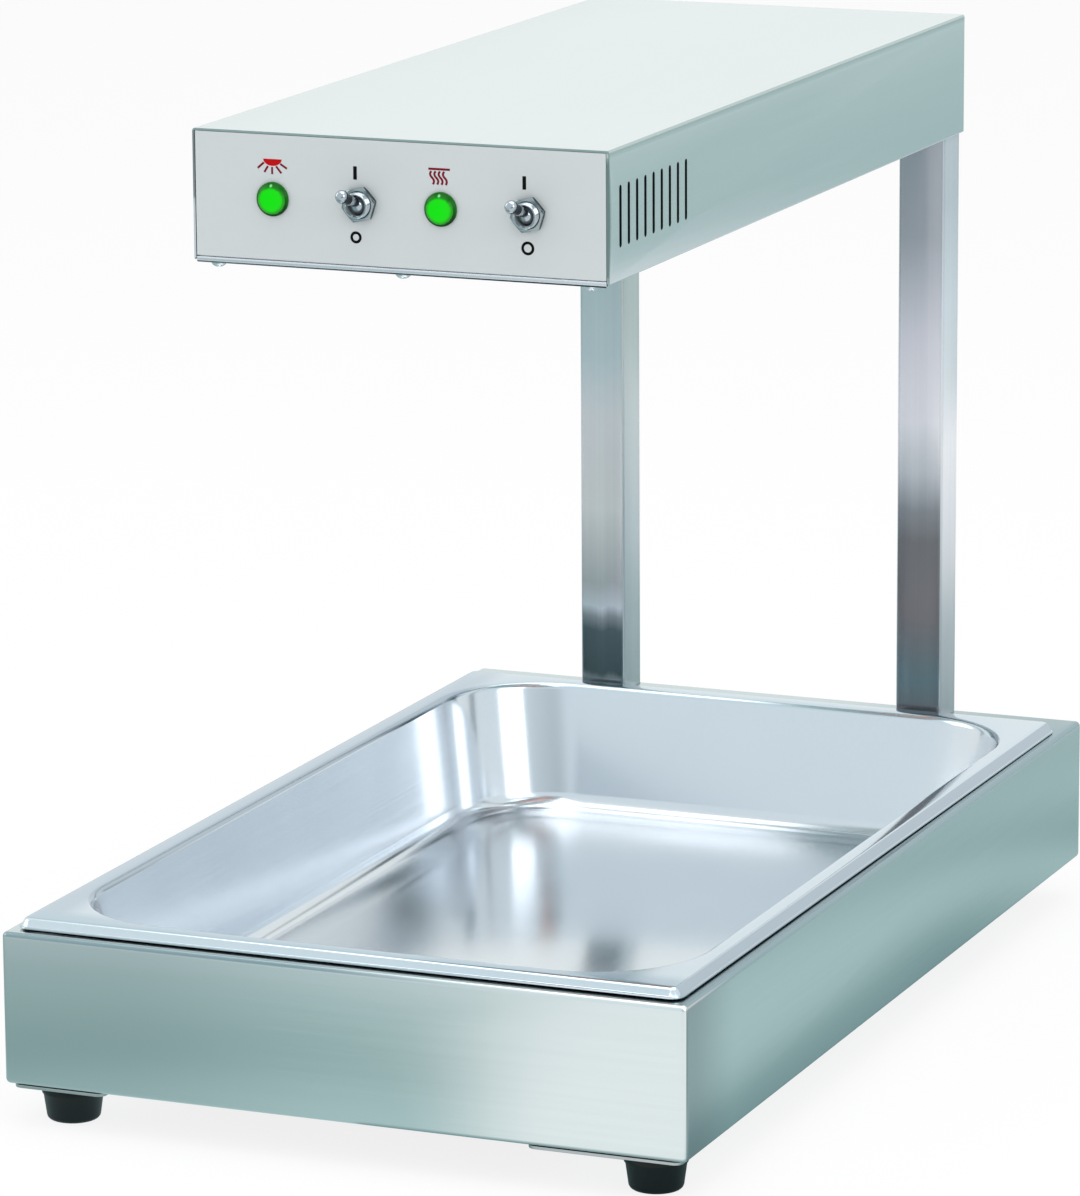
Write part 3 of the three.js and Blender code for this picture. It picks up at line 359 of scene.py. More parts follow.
def plainSurface(name, pale, deep, roughness, grain, depth, shine=0.5):
    finish = newFinish(name)
    speckle, cloud = finish.noise(grain, 4), finish.noise(grain / plain["cloud"])
    tone = shared(speckle, cloud, plain["speckleShare"])
    return finish.surface({"Base Color": finish.blend(tone, deep, pale),
                           "Roughness": varied(roughness, speckle, plain["roughnessSpan"]),
                           "Specular IOR Level": shine,
                           "Normal": finish.bump(speckle, depth * mm, plain["strength"])})


# a green lens with its light spread behind, in millimetres from its middle: the tone falls off in rings,
# the upper facets stay darker, and a painted highlight sits near the top
lens = {"radius": 7.8, "body": (4, 30, 6), "drop": 2.1, "upper": (12, 104, 12), "upperFrom": (6.4, 8.2),
        "upperShare": 0.85, "spot": (150, 244, 168), "spotRise": 6.3, "spotFrom": (0.2, 0.95),
        "spotShare": 0.9, "grain": 700, "ringWaver": 0.5, "upperWaver": 1.2, "roughness": 0.14,
        "roughnessSpan": 0.06, "shine": 0.12,
        "rings": [(0.0, (14, 228, 8)), (0.6, (20, 222, 14)), (0.7, (36, 200, 26)), (0.78, (22, 160, 16)),
                  (0.83, (52, 150, 44)), (0.87, (8, 64, 12)), (1.0, (2, 32, 8))]}


def greenLens(name, centre):
    finish = newFinish(name)

    def away(rise):
        spot = (centre[0], centre[1], centre[2] + rise * mm)
        return finish.measure("LENGTH", finish.place((1, 0, 1), spot)) * (1 / mm)

    facets = finish.noise(lens["grain"])
    colour = finish.ramp(lens["rings"], varied(away(0), facets, lens["ringWaver"]) * (1 / lens["radius"]))
    shade = finish.eased(varied(away(-lens["drop"]), facets, lens["upperWaver"]), *lens["upperFrom"], 0.0,
                         lens["upperShare"])
    colour = finish.blend(shade, colour, lens["upper"])
    # a painted highlight near the top of the lens
    spot = finish.fading(away(lens["spotRise"]), *lens["spotFrom"], lens["spotShare"])
    return finish.surface({"Base Color": rgb(*lens["body"]), "Specular IOR Level": lens["shine"],
                           "Roughness": lens["roughness"] + facets * lens["roughnessSpan"],
                           "Emission Color": finish.blend(spot, colour, lens["spot"]),
                           "Emission Strength": 1.0})


# glass and the glowing wire inside it
glass = {"cloud": 60, "transmission": 0.9, "roughnessSpan": 0.1, "bending": 1.46}
glow = {"cloud": 90, "body": (90, 60, 50), "pale": (255, 150, 60), "deep": (255, 92, 30), "roughness": 0.6,
        "strength": 2.2}


def quartzGlass(name, tint, roughness):
    finish = newFinish(name)
    cloud = finish.noise(glass["cloud"])
    return finish.surface({"Base Color": finish.blend(cloud, tint, white), "IOR": glass["bending"],
                           "Transmission Weight": glass["transmission"],
                           "Roughness": roughness + cloud * glass["roughnessSpan"]})


def hotWire(name):
    finish = newFinish(name)
    colour = finish.blend(finish.noise(glow["cloud"]), glow["deep"], glow["pale"])
    return finish.surface({"Base Color": rgb(*glow["body"]), "Roughness": glow["roughness"],
                           "Emission Strength": glow["strength"], "Emission Color": colour})


steelAlong = brushedSteel("brushed steel, grain front to back", "y")
steelLevel = brushedSteel("brushed steel, level grain", "x")
steelBase = brushedSteel("brushed steel of the base", "xy", topAxis="y", shading=frontShading)
steelHood = brushedSteel("brushed steel of the hood", "y", shading=edgeShading)
steelEdge = brushedSteel("bright rolled edge", "x", (240, 240, 244), (228, 229, 234), 0.2)
# painted shade: the hood's sheared edges and slot walls are darker steel, the front corners' edges graded up
# their height
cutEdgeShade = platedSteel("sheared edge", (178, 196, 194), (150, 170, 168), 0.5)
leftEdgeShade = gradedEdge("sheared edge, left", "z", 0.3941, 0.4541,
                      [(0.0, (226, 230, 232)), (0.42, (222, 226, 228)), (0.5, (150, 156, 158)),
                       (1.0, (142, 148, 151))])
rightEdgeShade = gradedEdge("sheared edge, right", "z", 0.3941, 0.4541,
                       [(0.0, (190, 206, 202)), (0.08, (130, 150, 147)), (0.9, (126, 148, 144)),
                        (0.96, (206, 216, 214))])
slotShade = platedSteel("slot edge", (70, 88, 90), (44, 60, 62), 0.5)
hemShade = gradedEdge("shaded hem", "x", -0.1, 0.1,
                      [(0.0, (128, 134, 139)), (0.3, (104, 112, 118)), (0.75, (52, 66, 70)),
                       (1.0, (24, 42, 46))])
gapShade = gradedEdge("shaded steel under the rim", "y", -0.29, 0.25,
                      [(0.0, (15, 27, 30)), (0.02, (15, 27, 30)), (0.045, (184, 198, 201)),
                       (0.5, (204, 216, 219)), (1.0, (206, 218, 221))], 0.6)
steelUprights = {"left": drawnTube("satin steel tube, left", leftTube),
                 "right": drawnTube("satin steel tube, right", rightTube)}
steelBright = polishedSteel("polished steel")
steelPan = polishedSteel("polished pan steel", 0.16, rim=True)
chrome = platedSteel("bright chrome", (196, 202, 207), (172, 179, 185), 0.1)
chromeSatin = platedSteel("satin chrome", (176, 187, 189), (144, 156, 159), 0.14)
chromeShade = platedSteel("shaded chrome", (84, 96, 101), (54, 65, 70), 0.22)
# painted shade on the levers' waists and behind their tips
chromeInShade = platedSteel("chrome in painted shade", (34, 46, 60), (20, 30, 42), 0.3)
screwBright = platedSteel("bright screw steel", (242, 245, 247), (228, 232, 235), 0.22)
zinc = platedSteel("zinc plate", (208, 210, 210), (176, 180, 182), 0.34)
brass = platedSteel("brass", (214, 180, 96), (186, 150, 72), 0.3)
satinGrey = plainSurface("satin nickel inside a bushing", (168, 176, 180), (132, 140, 145), 0.35, 900, 0.01)
panelFilm = plainSurface("grey panel film", (206, 213, 215), (202, 209, 211), 0.42, 1500, 0.01)
rubber = plainSurface("black rubber", (18, 26, 27), (8, 13, 14), 0.42, 1800, 0.03, 0.35)
blackPlastic = plainSurface("black plastic", (40, 43, 46), (26, 28, 31), 0.42, 2400, 0.03)
ceramicWhite = plainSurface("ceramic", (236, 232, 222), (220, 214, 202), 0.55, 900, 0.02)
inkBlack = plainSurface("black ink", (6, 7, 8), (2, 2, 3), 0.6, 1500, 0.005, 0.1)
inkRed = plainSurface("red ink", (196, 8, 12), (176, 4, 10), 0.4, 1500, 0.005, 0.1)
inkWine = plainSurface("wine red ink", (128, 20, 44), (112, 14, 36), 0.4, 1500, 0.005, 0.1)
wireBrown = plainSurface("brown wire cover", (112, 64, 36), (96, 52, 28), 0.5, 1500, 0.01)
wireBlack = plainSurface("black wire cover", (34, 34, 36), (22, 22, 24), 0.5, 1500, 0.01)
wireBlue = plainSurface("blue wire cover", (44, 88, 168), (34, 72, 146), 0.5, 1500, 0.01)
quartz = quartzGlass("quartz tube", (244, 238, 230), 0.12)
frostedGlass = quartzGlass("frosted lamp glass", (255, 250, 238), 0.35)
filament = hotWire("heater coil")
print("materials made:", len(bpy.data.materials))

# mesh helpers: a shape is made in millimetres and turned into metres when its piece is finished
shape = {"merge": 0.002, "near": 0.001, "loopSteps": 12, "sides": 32}


def nodeBox(name):
    return [Vector(corner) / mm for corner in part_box(name)]


def middleOf(box):
    return [(low + high) / 2 for low, high in zip(*box)]


def edgeLoop(bm, width, length, radius, height, centre=(0, 0), steps=8):
    known = set(bm.edges)
    corners = bmesh.ops.create_grid(bm, x_segments=1, y_segments=1, size=0.5)["verts"]
    bmesh.ops.scale(bm, vec=(width, length, 1), verts=corners)
    bmesh.ops.translate(bm, vec=(*centre, height), verts=corners)
    bmesh.ops.bevel(bm, geom=corners, offset=radius, offset_type="OFFSET", affect="VERTICES",
                    segments=steps, profile=0.5, material=-1)
    loop = [edge for edge in bm.edges if edge not in known]
    faces = list({face for edge in loop for face in edge.link_faces})
    bmesh.ops.delete(bm, geom=faces, context="FACES_ONLY")
    return loop


# a loop that follows a box's sides, moved in from them
def boxLoop(bm, box, inset, radius, height, steps=shape["loopSteps"]):
    low, high = box
    return edgeLoop(bm, high.x - low.x - 2 * inset, high.y - low.y - 2 * inset, radius, height,
                    middleOf(box)[:2], steps)


def bridged(bm, loops):
    for lower, upper in zip(loops, loops[1:]):
        bmesh.ops.bridge_loops(bm, edges=lower + upper)


def roundLoop(bm, loop, offset, steps=6):
    bmesh.ops.bevel(bm, geom=loop, offset=offset, offset_type="OFFSET", affect="EDGES",
                    segments=steps, profile=0.5, material=-1)


def wire(bm, points):
    verts = [bm.verts.new(point) for point in points]
    return verts, [bm.edges.new(pair) for pair in zip(verts, verts[1:])]


def pushed(bm, made, step):
    bmesh.ops.translate(bm, vec=step, verts=[v for v in made["geom"] if isinstance(v, bmesh.types.BMVert)])


# a sheet swept along a vector from a bent outline; each inner point has its bend radius
def folded(points, along, bends, steps=4):
    bm = bmesh.new()
    verts, _ = wire(bm, points)
    for vert, radius in zip(verts[1:-1], bends):
        bmesh.ops.bevel(bm, geom=[vert], offset=radius, offset_type="OFFSET", affect="VERTICES",
                        segments=steps, profile=0.5, material=-1)
    pushed(bm, bmesh.ops.extrude_edge_only(bm, edges=bm.edges[:]), along)
    return bm


def block(low, high, bm=None):
    bm = bm or bmesh.new()
    verts = bmesh.ops.create_cube(bm, size=1)["verts"]
    low, high = Vector(low), Vector(high)
    bmesh.ops.scale(bm, vec=high - low, verts=verts)
    bmesh.ops.translate(bm, vec=(low + high) / 2, verts=verts)
    return bm


# turns a profile of radius and distance along the axis
def spun(profile, axis="z", start=(0, 0, 0), sides=shape["sides"], bm=None):
    bm = bm or bmesh.new()
    place = {"x": lambda r, a: (a, 0, r), "y": lambda r, a: (r, a, 0), "z": lambda r, a: (r, 0, a)}[axis]
    start = Vector(start)
    verts, edges = wire(bm, [start + Vector(place(*point)) for point in profile])
    turn = Vector([axis == name for name in "xyz"])
    known = set(bm.verts) - set(verts)
    bmesh.ops.spin(bm, geom=verts + edges, cent=start, axis=turn, angle=2 * math.pi, steps=sides,
                   use_merge=True, use_duplicate=False)
    made = [vert for vert in bm.verts if vert not in known]
    bmesh.ops.remove_doubles(bm, verts=made, dist=shape["near"])
    return bm


def rod(axis, radius, start, length, sides, bm=None):
    return spun([(0, 0), (radius, 0), (radius, length), (0, length)], axis, start, sides, bm)


# points of an arc in a profile, from one angle to another in degrees
def arc(centre, radius, first, last, steps):
    angles = [math.radians(first + (last - first) * i / steps) for i in range(steps + 1)]
    return [(centre[0] + radius * math.cos(a), centre[1] + radius * math.sin(a)) for a in angles]


def carrierOf(bm):
    mesh = bpy.data.meshes.new("shaping")
    bm.to_mesh(mesh)
    bm.free()
    carrier = bpy.data.objects.new("shaping", mesh)
    bpy.context.scene.collection.objects.link(carrier)
    return carrier


def dropCarrier(carrier):
    mesh = carrier.data
    bpy.data.objects.remove(carrier)
    bpy.data.meshes.remove(mesh)


# runs one modifier on a shape and gives back the result as a new bmesh
def shaped(bm, kind, **settings):
    carrier = carrierOf(bm)
    modifier = carrier.modifiers.new("shaping", kind)
    for name, value in settings.items():
        setattr(modifier, name, value)
    result = bmesh.new()
    result.from_object(carrier, bpy.context.evaluated_depsgraph_get())
    dropCarrier(carrier)
    return result


def walled(bm, thickness):
    bmesh.ops.remove_doubles(bm, verts=bm.verts, dist=shape["merge"])
    bmesh.ops.recalc_face_normals(bm, faces=bm.faces)
    return shaped(bm, "SOLIDIFY", thickness=thickness, offset=-1, use_even_offset=True,
                  use_quality_normals=True)


# a flat sheet's thickness, laid behind the side that faces along a direction
def thickened(bm, thickness, direction):
    bm.normal_update()
    if bm.faces[:][0].normal.dot(direction) < 0:
        bmesh.ops.reverse_faces(bm, faces=bm.faces)
    return shaped(bm, "SOLIDIFY", thickness=thickness, offset=-1)


def joined(bm, tool, operation="DIFFERENCE"):
    for solid in (bm, tool):
        bmesh.ops.recalc_face_normals(solid, faces=solid.faces)
    cutter = carrierOf(tool)
    result = shaped(bm, "BOOLEAN", object=cutter, operation=operation, solver="EXACT")
    dropCarrier(cutter)
    return result


def placed(bm, matrix):
    bmesh.ops.transform(bm, matrix=matrix, verts=bm.verts)
    return bm


# joins several shapes into one without cutting them
def gathered(parts):
    whole = bmesh.new()
    for part in parts:
        mesh = bpy.data.meshes.new("gathering")
        part.to_mesh(mesh)
        part.free()
        whole.from_mesh(mesh)
        bpy.data.meshes.remove(mesh)
    return whole


# the faces whose normal and middle pass a test, and the same faces cut by a plane or given a material
def facesWhere(bm, test):
    return [face for face in bm.faces if test(face.normal, face.calc_center_median())]


def sliced(bm, test, place, normal):
    faces = facesWhere(bm, test)
    verts, edges = {v for f in faces for v in f.verts}, {e for f in faces for e in f.edges}
    bmesh.ops.bisect_plane(bm, geom=list(verts) + list(edges) + faces, plane_co=place, plane_no=normal,
                           dist=shape["near"])


def painted(bm, index, test):
    for face in facesWhere(bm, test):
        face.material_index = index


def addPiece(name, bm, materials, body="chassis", stands=(), edge=0, smooth=32, outward=True):
    bmesh.ops.remove_doubles(bm, verts=bm.verts, dist=shape["merge"])
    if outward:
        bmesh.ops.recalc_face_normals(bm, faces=bm.faces)
    bmesh.ops.scale(bm, vec=(mm, mm, mm), verts=bm.verts)
    mesh = bpy.data.meshes.new(name)
    bm.to_mesh(mesh)
    bm.free()
    mesh.shade_smooth()
    mesh.set_sharp_from_angle(angle=math.radians(smooth))
    piece = bpy.data.objects.new(name, mesh)
    bpy.context.scene.collection.objects.link(piece)
    for material in materials if isinstance(materials, list) else [materials]:
        mesh.materials.append(material)
    if edge:
        rounding = piece.modifiers.new("edge rounding", "BEVEL")
        rounding.width, rounding.segments = edge * mm, 2
        rounding.limit_method, rounding.angle_limit = "ANGLE", math.radians(smooth)
        rounding.harden_normals = True
    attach(piece, body)
    if stands:
        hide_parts(*stands)


# food pan: rings of its upper skin, from the lip to the raised middle of the floor; each bend is the
# ring's number, its radius and its steps
panBox, baseBox = nodeBox("food_pan"), nodeBox("base_shell")
postBoxes = {side: nodeBox("post_" + side) for side in ("left", "right")}
panHigh, (baseLow, baseHigh) = panBox[1], baseBox
pan = {"sheet": 0.9, "lip": 2.9, "lipCorner": 6, "ledge": 0.7, "gap": 0.9, "rearGap": 0.3, "mouth": 12.69,
       "mouthCorner": 52.6, "floorInset": 22.7, "floor": 33.7, "floorCorner": 50.6, "raisedInset": 44,
       "raisedCorner": 30.6, "slope": 3, "raise": 0.7, "edge": 0.25,
       "bends": [(4, 7.8, 6), (3, 3.34, 6), (2, 1.5, 4), (1, 0.4, 2)]}


def addPan():
    bm = bmesh.new()
    lipTop, corner = baseHigh.z + pan["gap"] + pan["sheet"], pan["lipCorner"]
    inset, floor, turn = pan["raisedInset"], pan["floor"], pan["raisedCorner"]
    rings = [(0, lipTop, corner), (pan["ledge"], lipTop, corner - pan["ledge"]),
             (pan["lip"], panHigh.z, corner - pan["lip"]), (pan["mouth"], panHigh.z, pan["mouthCorner"]),
             (pan["floorInset"], floor, pan["floorCorner"]), (inset, floor, turn),
             (inset + pan["slope"], floor + pan["raise"], turn - pan["slope"])]
    loops = [boxLoop(bm, panBox, inset, radius, height) for inset, height, radius in rings]
    lip = {vert for loop in loops[:2] for edge in loop for vert in edge.verts}
    rearLip = [vert for vert in lip if vert.co.y > middleOf(panBox)[1]]
    bmesh.ops.translate(bm, verts=rearLip, vec=(0, 0, pan["rearGap"] - pan["gap"]))
    bridged(bm, loops)
    bmesh.ops.contextual_create(bm, geom=loops[-1])
    for ring, radius, steps in pan["bends"]:
        roundLoop(bm, loops[ring], radius, steps)
    addPiece("food_pan_skin", walled(bm, pan["sheet"]), steelPan, "food_pan",
             ("food_pan",), pan["edge"])


addPan()
print("food pan made")


# base shell: top frame round the well, bent edges, walls and the turned-in lower edge
base = {"sheet": 1.2, "corner": 2.7, "bend": 2.5, "lipInset": 0.9, "shadeInset": 6, "flange": 14,
        "flangeCorner": 0.6, "wellWidth": 302.6, "wellLength": 507.6, "wellCorner": 54.1, "postGap": 0.3,
        "topBand": 3, "edge": 0.2, "screwHeights": (24, 56)}


def addBase():
    bm = bmesh.new()
    top = baseHigh.z
    loops = [edgeLoop(bm, base["wellWidth"], base["wellLength"], base["wellCorner"], top,
                      middleOf(panBox)[:2], shape["loopSteps"]),
             boxLoop(bm, panBox, base["shadeInset"], pan["lipCorner"], top),
             boxLoop(bm, panBox, base["lipInset"], pan["lipCorner"], top),
             boxLoop(bm, baseBox, 0, base["corner"], top),
             boxLoop(bm, baseBox, 0, base["corner"], baseLow.z),
             boxLoop(bm, baseBox, base["flange"], base["flangeCorner"], baseLow.z)]
    bridged(bm, loops[1:3])
    shaded = bm.faces[:]          # only what the pan's lip shades at rest is dark
    bridged(bm, loops[:2])
    bridged(bm, loops[2:])
    for face in bm.faces:
        face.material_index = 1 if face in shaded else 0
    roundLoop(bm, loops[4], base["bend"])
    roundLoop(bm, loops[3], base["bend"])
    gap = base["postGap"]
    for low, high in postBoxes.values():
        left, right, front, back = low.x - gap, high.x + gap, low.y - gap, high.y + gap
        for place, normal in (((left, 0, 0), (1, 0, 0)), ((right, 0, 0), (1, 0, 0)),
                              ((0, front, 0), (0, 1, 0)), ((0, back, 0), (0, 1, 0))):
            sliced(bm, lambda _, at: at.z > top - base["topBand"], place, normal)
        hole = facesWhere(bm, lambda _, at: left < at.x < right and front < at.y < back
                          and at.z > top - base["topBand"])
        bmesh.ops.delete(bm, geom=hole, context="FACES")
    addPiece("base_shell_sheet", walled(bm, base["sheet"]), [steelBase, gapShade],
             stands=("base_shell",), edge=base["edge"])


addBase()
print("base shell made")


# screws with a domed head and a cross recess, made pointing down from their seats, each at its own turn
screw = {"dome": (0.15, 0.4, 0.7, 1.0, 1.3), "arm": 0.55, "slit": 0.14, "recess": (1.5, 0.45), "shank": 6,
         "turn": 20, "sides": 24, "stemSides": 12, "smooth": 40}
facing = {"down": Matrix.Identity(4), "back": Matrix.Rotation(math.radians(90), 4, "X")}


def crossScrew(head, rise):
    dome = [(head * math.cos(a), -rise * math.sin(a)) for a in screw["dome"]]
    bm = spun([(0, 0), (head, 0)] + dome + [(0, -rise)], sides=screw["sides"])
    arm, slit = head * screw["arm"], head * screw["slit"]
    low, high = [-rise * share for share in screw["recess"]]
    cross = [block((-x, -y, low), (x, y, high)) for x, y in ((arm, slit), (slit, arm))]
    return joined(bm, joined(*cross, "UNION"))


def addScrews(name, head, rise, seats, way, material=zinc, turn=screw["turn"],
              stands=(), shank=0):
    whole = []
    for i, seat in enumerate(seats):
        parts = [crossScrew(head, rise)]
        if shank:
            parts.append(rod("z", shank, (0, 0, 0), screw["shank"], screw["stemSides"]))
        turned = facing[way] @ Matrix.Rotation(math.radians(turn * (i * 3 + 1)), 4, "Z")
        whole.append(placed(gathered(parts), Matrix.Translation(seat) @ turned))
    addPiece(name, gathered(whole), material, stands=stands, smooth=screw["smooth"], outward=False)


# strips under the shell, and the feet that they carry; each rib point is its drop from the foot's top and
# how far it stands out
rail = {"corner": 4, "steps": 4, "edge": 0.3, "head": 3.6, "rise": 2.4, "insets": (9, 12), "end": 30,
        "clear": 20}
foot = {"top": 15.5, "bottom": 12.5, "round": 2.5, "roundTo": -10, "steps": 6, "recess": 6.5,
        "recessDepth": 8, "lead": 0.6, "ribDepth": 0.5, "ribs": ((6, 0), (5.2, 0.5), (3.6, 0.5), (2.8, 0)),
        "shoulder": (0.8, 0.6), "rim": 1.2, "hole": 2.7, "sides": 40, "head": 5, "rise": 2.8, "shank": 2.4,
        "seat": 0.3, "smooth": 40}
footPlaces = {name: nodeBox("foot_" + name) for name in
              ("front_left", "front_right", "rear_left", "rear_right")}


def addRail(side):
    box = low, high = nodeBox("foot_rail_" + side)
    bm = bmesh.new()
    loops = [boxLoop(bm, box, 0, rail["corner"], z, rail["steps"]) for z in (low.z, high.z)]
    bridged(bm, loops)
    for loop in loops:
        bmesh.ops.contextual_create(bm, geom=loop)
    addPiece("foot_strip_" + side, bm, zinc, stands=("foot_rail_" + side,), edge=rail["edge"])
    seats = [(x, y, low.z) for x in (low.x + rail["insets"][0], high.x - rail["insets"][1])
             for y in (low.y + rail["end"], 0, high.y - rail["end"])
             if not any(abs(x - middle[0]) < rail["clear"] and abs(y - middle[1]) < rail["clear"]
                        for middle in map(middleOf, footPlaces.values()))]
    addScrews("foot_strip_screws_" + side, rail["head"], rail["rise"], seats, "down")


def addFoot(name):
    top = footPlaces[name][1].z
    centre = (*middleOf(footPlaces[name])[:2], 0)
    bottom, turn, lead, recess = foot["bottom"], foot["round"], foot["lead"], foot["recess"]
    profile = [(recess, foot["recessDepth"]), (recess, lead), (recess + lead, 0)]
    profile += arc((bottom - turn, turn), turn, -90, foot["roundTo"], foot["steps"])
    slope = (foot["top"] - bottom) / (top - turn)
    profile += [(bottom + slope * (top - drop - turn) + out - foot["ribDepth"], top - drop)
                for drop, out in foot["ribs"]]
    profile += [(foot["top"] - foot["shoulder"][0], top - foot["shoulder"][1]),
                (foot["top"] - foot["rim"], top), (foot["hole"], top), (foot["hole"], foot["recessDepth"])]
    addPiece("rubber_foot_" + name, spun(profile + profile[:1], "z", centre, foot["sides"]), rubber,
             stands=("foot_" + name,), smooth=foot["smooth"])
    addScrews("foot_screw_head_" + name, foot["head"], foot["rise"],
              [(centre[0], centre[1], foot["recessDepth"] - foot["seat"])], "down",
              stands=("foot_screw_" + name,), shank=foot["shank"])


for side in ("left", "right"):
    addRail(side)
for name in footPlaces:
    addFoot(name)
print("strips and feet made")


# posts: square tubes with rounded corners, screwed to the shell and to the hood's rear panel
post = {"wall": 1.5, "corner": 2.2, "steps": 6, "edge": 0.15, "screwHead": 4.2, "screwRise": 2.4}


def addPost(side):
    bm = bmesh.new()
    bridged(bm, [boxLoop(bm, postBoxes[side], 0, post["corner"], end.z, post["steps"])
                 for end in postBoxes[side]])
    addPiece("post_tube_" + side, walled(bm, post["wall"]), steelUprights[side],
             stands=("post_" + side,), edge=post["edge"])


def addPostScrews(name, back, heights):
    seats = [(middleOf(box)[0], back, height) for box in postBoxes.values() for height in heights]
    addScrews(name, post["screwHead"], post["screwRise"], seats, "back")


for side in postBoxes:
    addPost(side)
addPostScrews("base_rear_screws", baseHigh.y, [baseLow.z + rise for rise in base["screwHeights"]])
print("posts made")


# hood shell: one folded sheet with slots in its sides and a flange along each lower edge
hoodLow, hoodHigh = nodeBox("hood_shell")
hood = {"sheet": 1, "bend": 1.3, "lowerBend": 0.6, "flange": 10, "frontNotch": 15.3, "rearNotch": 42.3,
        "slots": 9, "pitch": 10, "slotWidth": 2.9, "slotHeight": 28, "slotSteps": 6, "firstSlot": 14,
        "slotRise": 29, "reach": 8, "side": 1.1, "topBend": 1.2, "near": 0.1, "low": 0.01, "facing": 0.7,
        "across": 0.5, "edge": 0.12}


def slotCutter(y, z):
    bm = bmesh.new()
    width = hood["slotWidth"]
    loop = edgeLoop(bm, width, hood["slotHeight"], width / 2 - hood["low"], 0, steps=hood["slotSteps"])
    face = bmesh.ops.contextual_create(bm, geom=loop)["faces"]
    reach = hoodHigh.x - hoodLow.x + hood["reach"]
    pushed(bm, bmesh.ops.extrude_face_region(bm, geom=face), (0, 0, reach))
    bmesh.ops.translate(bm, vec=(0, 0, -reach / 2), verts=bm.verts)
    return placed(bm, Matrix(((0, 0, 1, 0), (1, 0, 0, y), (0, 1, 0, z), (0, 0, 0, 1))))


def hoodMaterial(normal, at):     # sheared edges at the front and in the slots get their own materials, darker in painted shade
    side, top = hoodHigh.x - hood["side"], hoodHigh.z - hood["topBend"]
    if normal.y < -hood["facing"] and at.y < hoodLow.y + hood["near"]:
        upright = abs(at.x) > side and at.z < top
        return (2 if at.x < 0 else 3) if upright else 1
    rise = abs(at.z - hoodLow.z - hood["slotRise"])
    inSlot = rise < hood["slotHeight"] / 2 + hood["near"] and side < abs(at.x) < hoodHigh.x + hood["near"]
    return 4 if inSlot and abs(normal.x) < hood["across"] else 0


def addHood():
    left, right, bottom, top = hoodLow.x, hoodHigh.x, hoodLow.z, hoodHigh.z
    front, rear = hoodLow.y, hoodHigh.y
    places = [(left + hood["flange"], bottom), (left, bottom), (left, top), (right, top), (right, bottom),
              (right - hood["flange"], bottom)]
    bm = folded([(x, front, z) for x, z in places], (0, rear - front, 0),
                [hood["lowerBend"], hood["bend"], hood["bend"], hood["lowerBend"]])
    first, last = front + hood["frontNotch"], rear - hood["rearNotch"]
    for y in (first, last):
        sliced(bm, lambda _, at: at.z < bottom + hood["low"], (0, y, 0), (0, 1, 0))
    ends = facesWhere(bm, lambda _, at: at.z < bottom + hood["low"] and not first < at.y < last)
    bmesh.ops.delete(bm, geom=ends, context="FACES")
    bm = walled(bm, hood["sheet"])
    slots = gathered([slotCutter(front + hood["firstSlot"] + i * hood["pitch"], bottom + hood["slotRise"])
                      for i in range(hood["slots"])])
    bm = joined(bm, slots)
    bm.normal_update()
    for face in bm.faces:
        face.material_index = hoodMaterial(face.normal, face.calc_center_median())
    addPiece("hood_sheet", bm, [steelHood, cutEdgeShade, leftEdgeShade, rightEdgeShade, slotShade],
             stands=("hood_shell",), edge=hood["edge"])


addHood()
print("hood shell made")


# control panel: a grey face, and under it the rolled edge that turns back beneath the hood
panelLow, panelHigh = nodeBox("hood_front_panel")
panel = {"sheet": 1, "return": 15, "rollHeight": 1.7, "groove": 0.35, "hem": 1.2, "hemDepth": 2.4,
         "hemSlope": 0.6, "hemBends": (0.3, 0.5, 1.1, 0.9), "hemSteps": 6, "turnIn": 0.2, "hemSheet": 0.7,
         "hemFacing": 0.3, "faceEdge": 0.25, "hemEdge": 0.1, "top": 452.9, "controlHeight": 423.8,
         "lightPilot": -61.3, "lightToggle": -18.5, "heatPilot": 20.8, "heatToggle": 63,
         "holes": {"Pilot": 6.3, "Toggle": 6.2}}
edgeScrew = {"hole": 2.1, "inset": 5, "front": (-91, 0, 91), "rear": (-50.1, 50.1)}
drill = {"before": -4, "beyond": 6}
controlHeight, panelFront = panel["controlHeight"], panelLow.y


def holesAlong(axis, places, radius):
    tools = bmesh.new()
    first, last = drill["before"], drill["beyond"]
    for place in places:
        spun([(0, first), (radius, first), (radius, last), (0, last)], axis, place, bm=tools)
    return tools


def addFrontPanel():
    split = panelLow.z + panel["rollHeight"]
    left, front, bottom = panelLow
    across = (panelHigh.x - left, 0, 0)
    face = folded([(left, front, split + panel["groove"]), (left, front, panel["top"])], across, [])
    holes = [holesAlong("y", [(panel[use + kind], front, controlHeight) for use in ("light", "heat")], radius)
             for kind, radius in panel["holes"].items()]
    addPiece("control_panel_face", joined(thickened(face, panel["sheet"], (0, -1, 0)), gathered(holes)),
             panelFilm, stands=("hood_front_panel",), edge=panel["faceEdge"])
    hem, depth = bottom - panel["hem"], panel["hemDepth"]
    outline = [(panel["return"], bottom), (depth + panel["hemSlope"], bottom), (depth, hem), (0, hem),
               (0, split), (panel["sheet"] + panel["turnIn"], split)]
    roll = folded([(left, front + back, z) for back, z in outline], across, panel["hemBends"],
                  panel["hemSteps"])
    roll = walled(roll, panel["hemSheet"])
    roll.normal_update()          # the hem's underside lies in its own shade
    painted(roll, 1, lambda normal, _: normal.z < -panel["hemFacing"])
    seats = [(x, front + edgeScrew["inset"], bottom) for x in edgeScrew["front"]]
    addPiece("control_panel_edge", joined(roll, holesAlong("z", seats, edgeScrew["hole"])),
             [steelEdge, hemShade], stands=("hood_front_panel",),
             edge=panel["hemEdge"])


addFrontPanel()


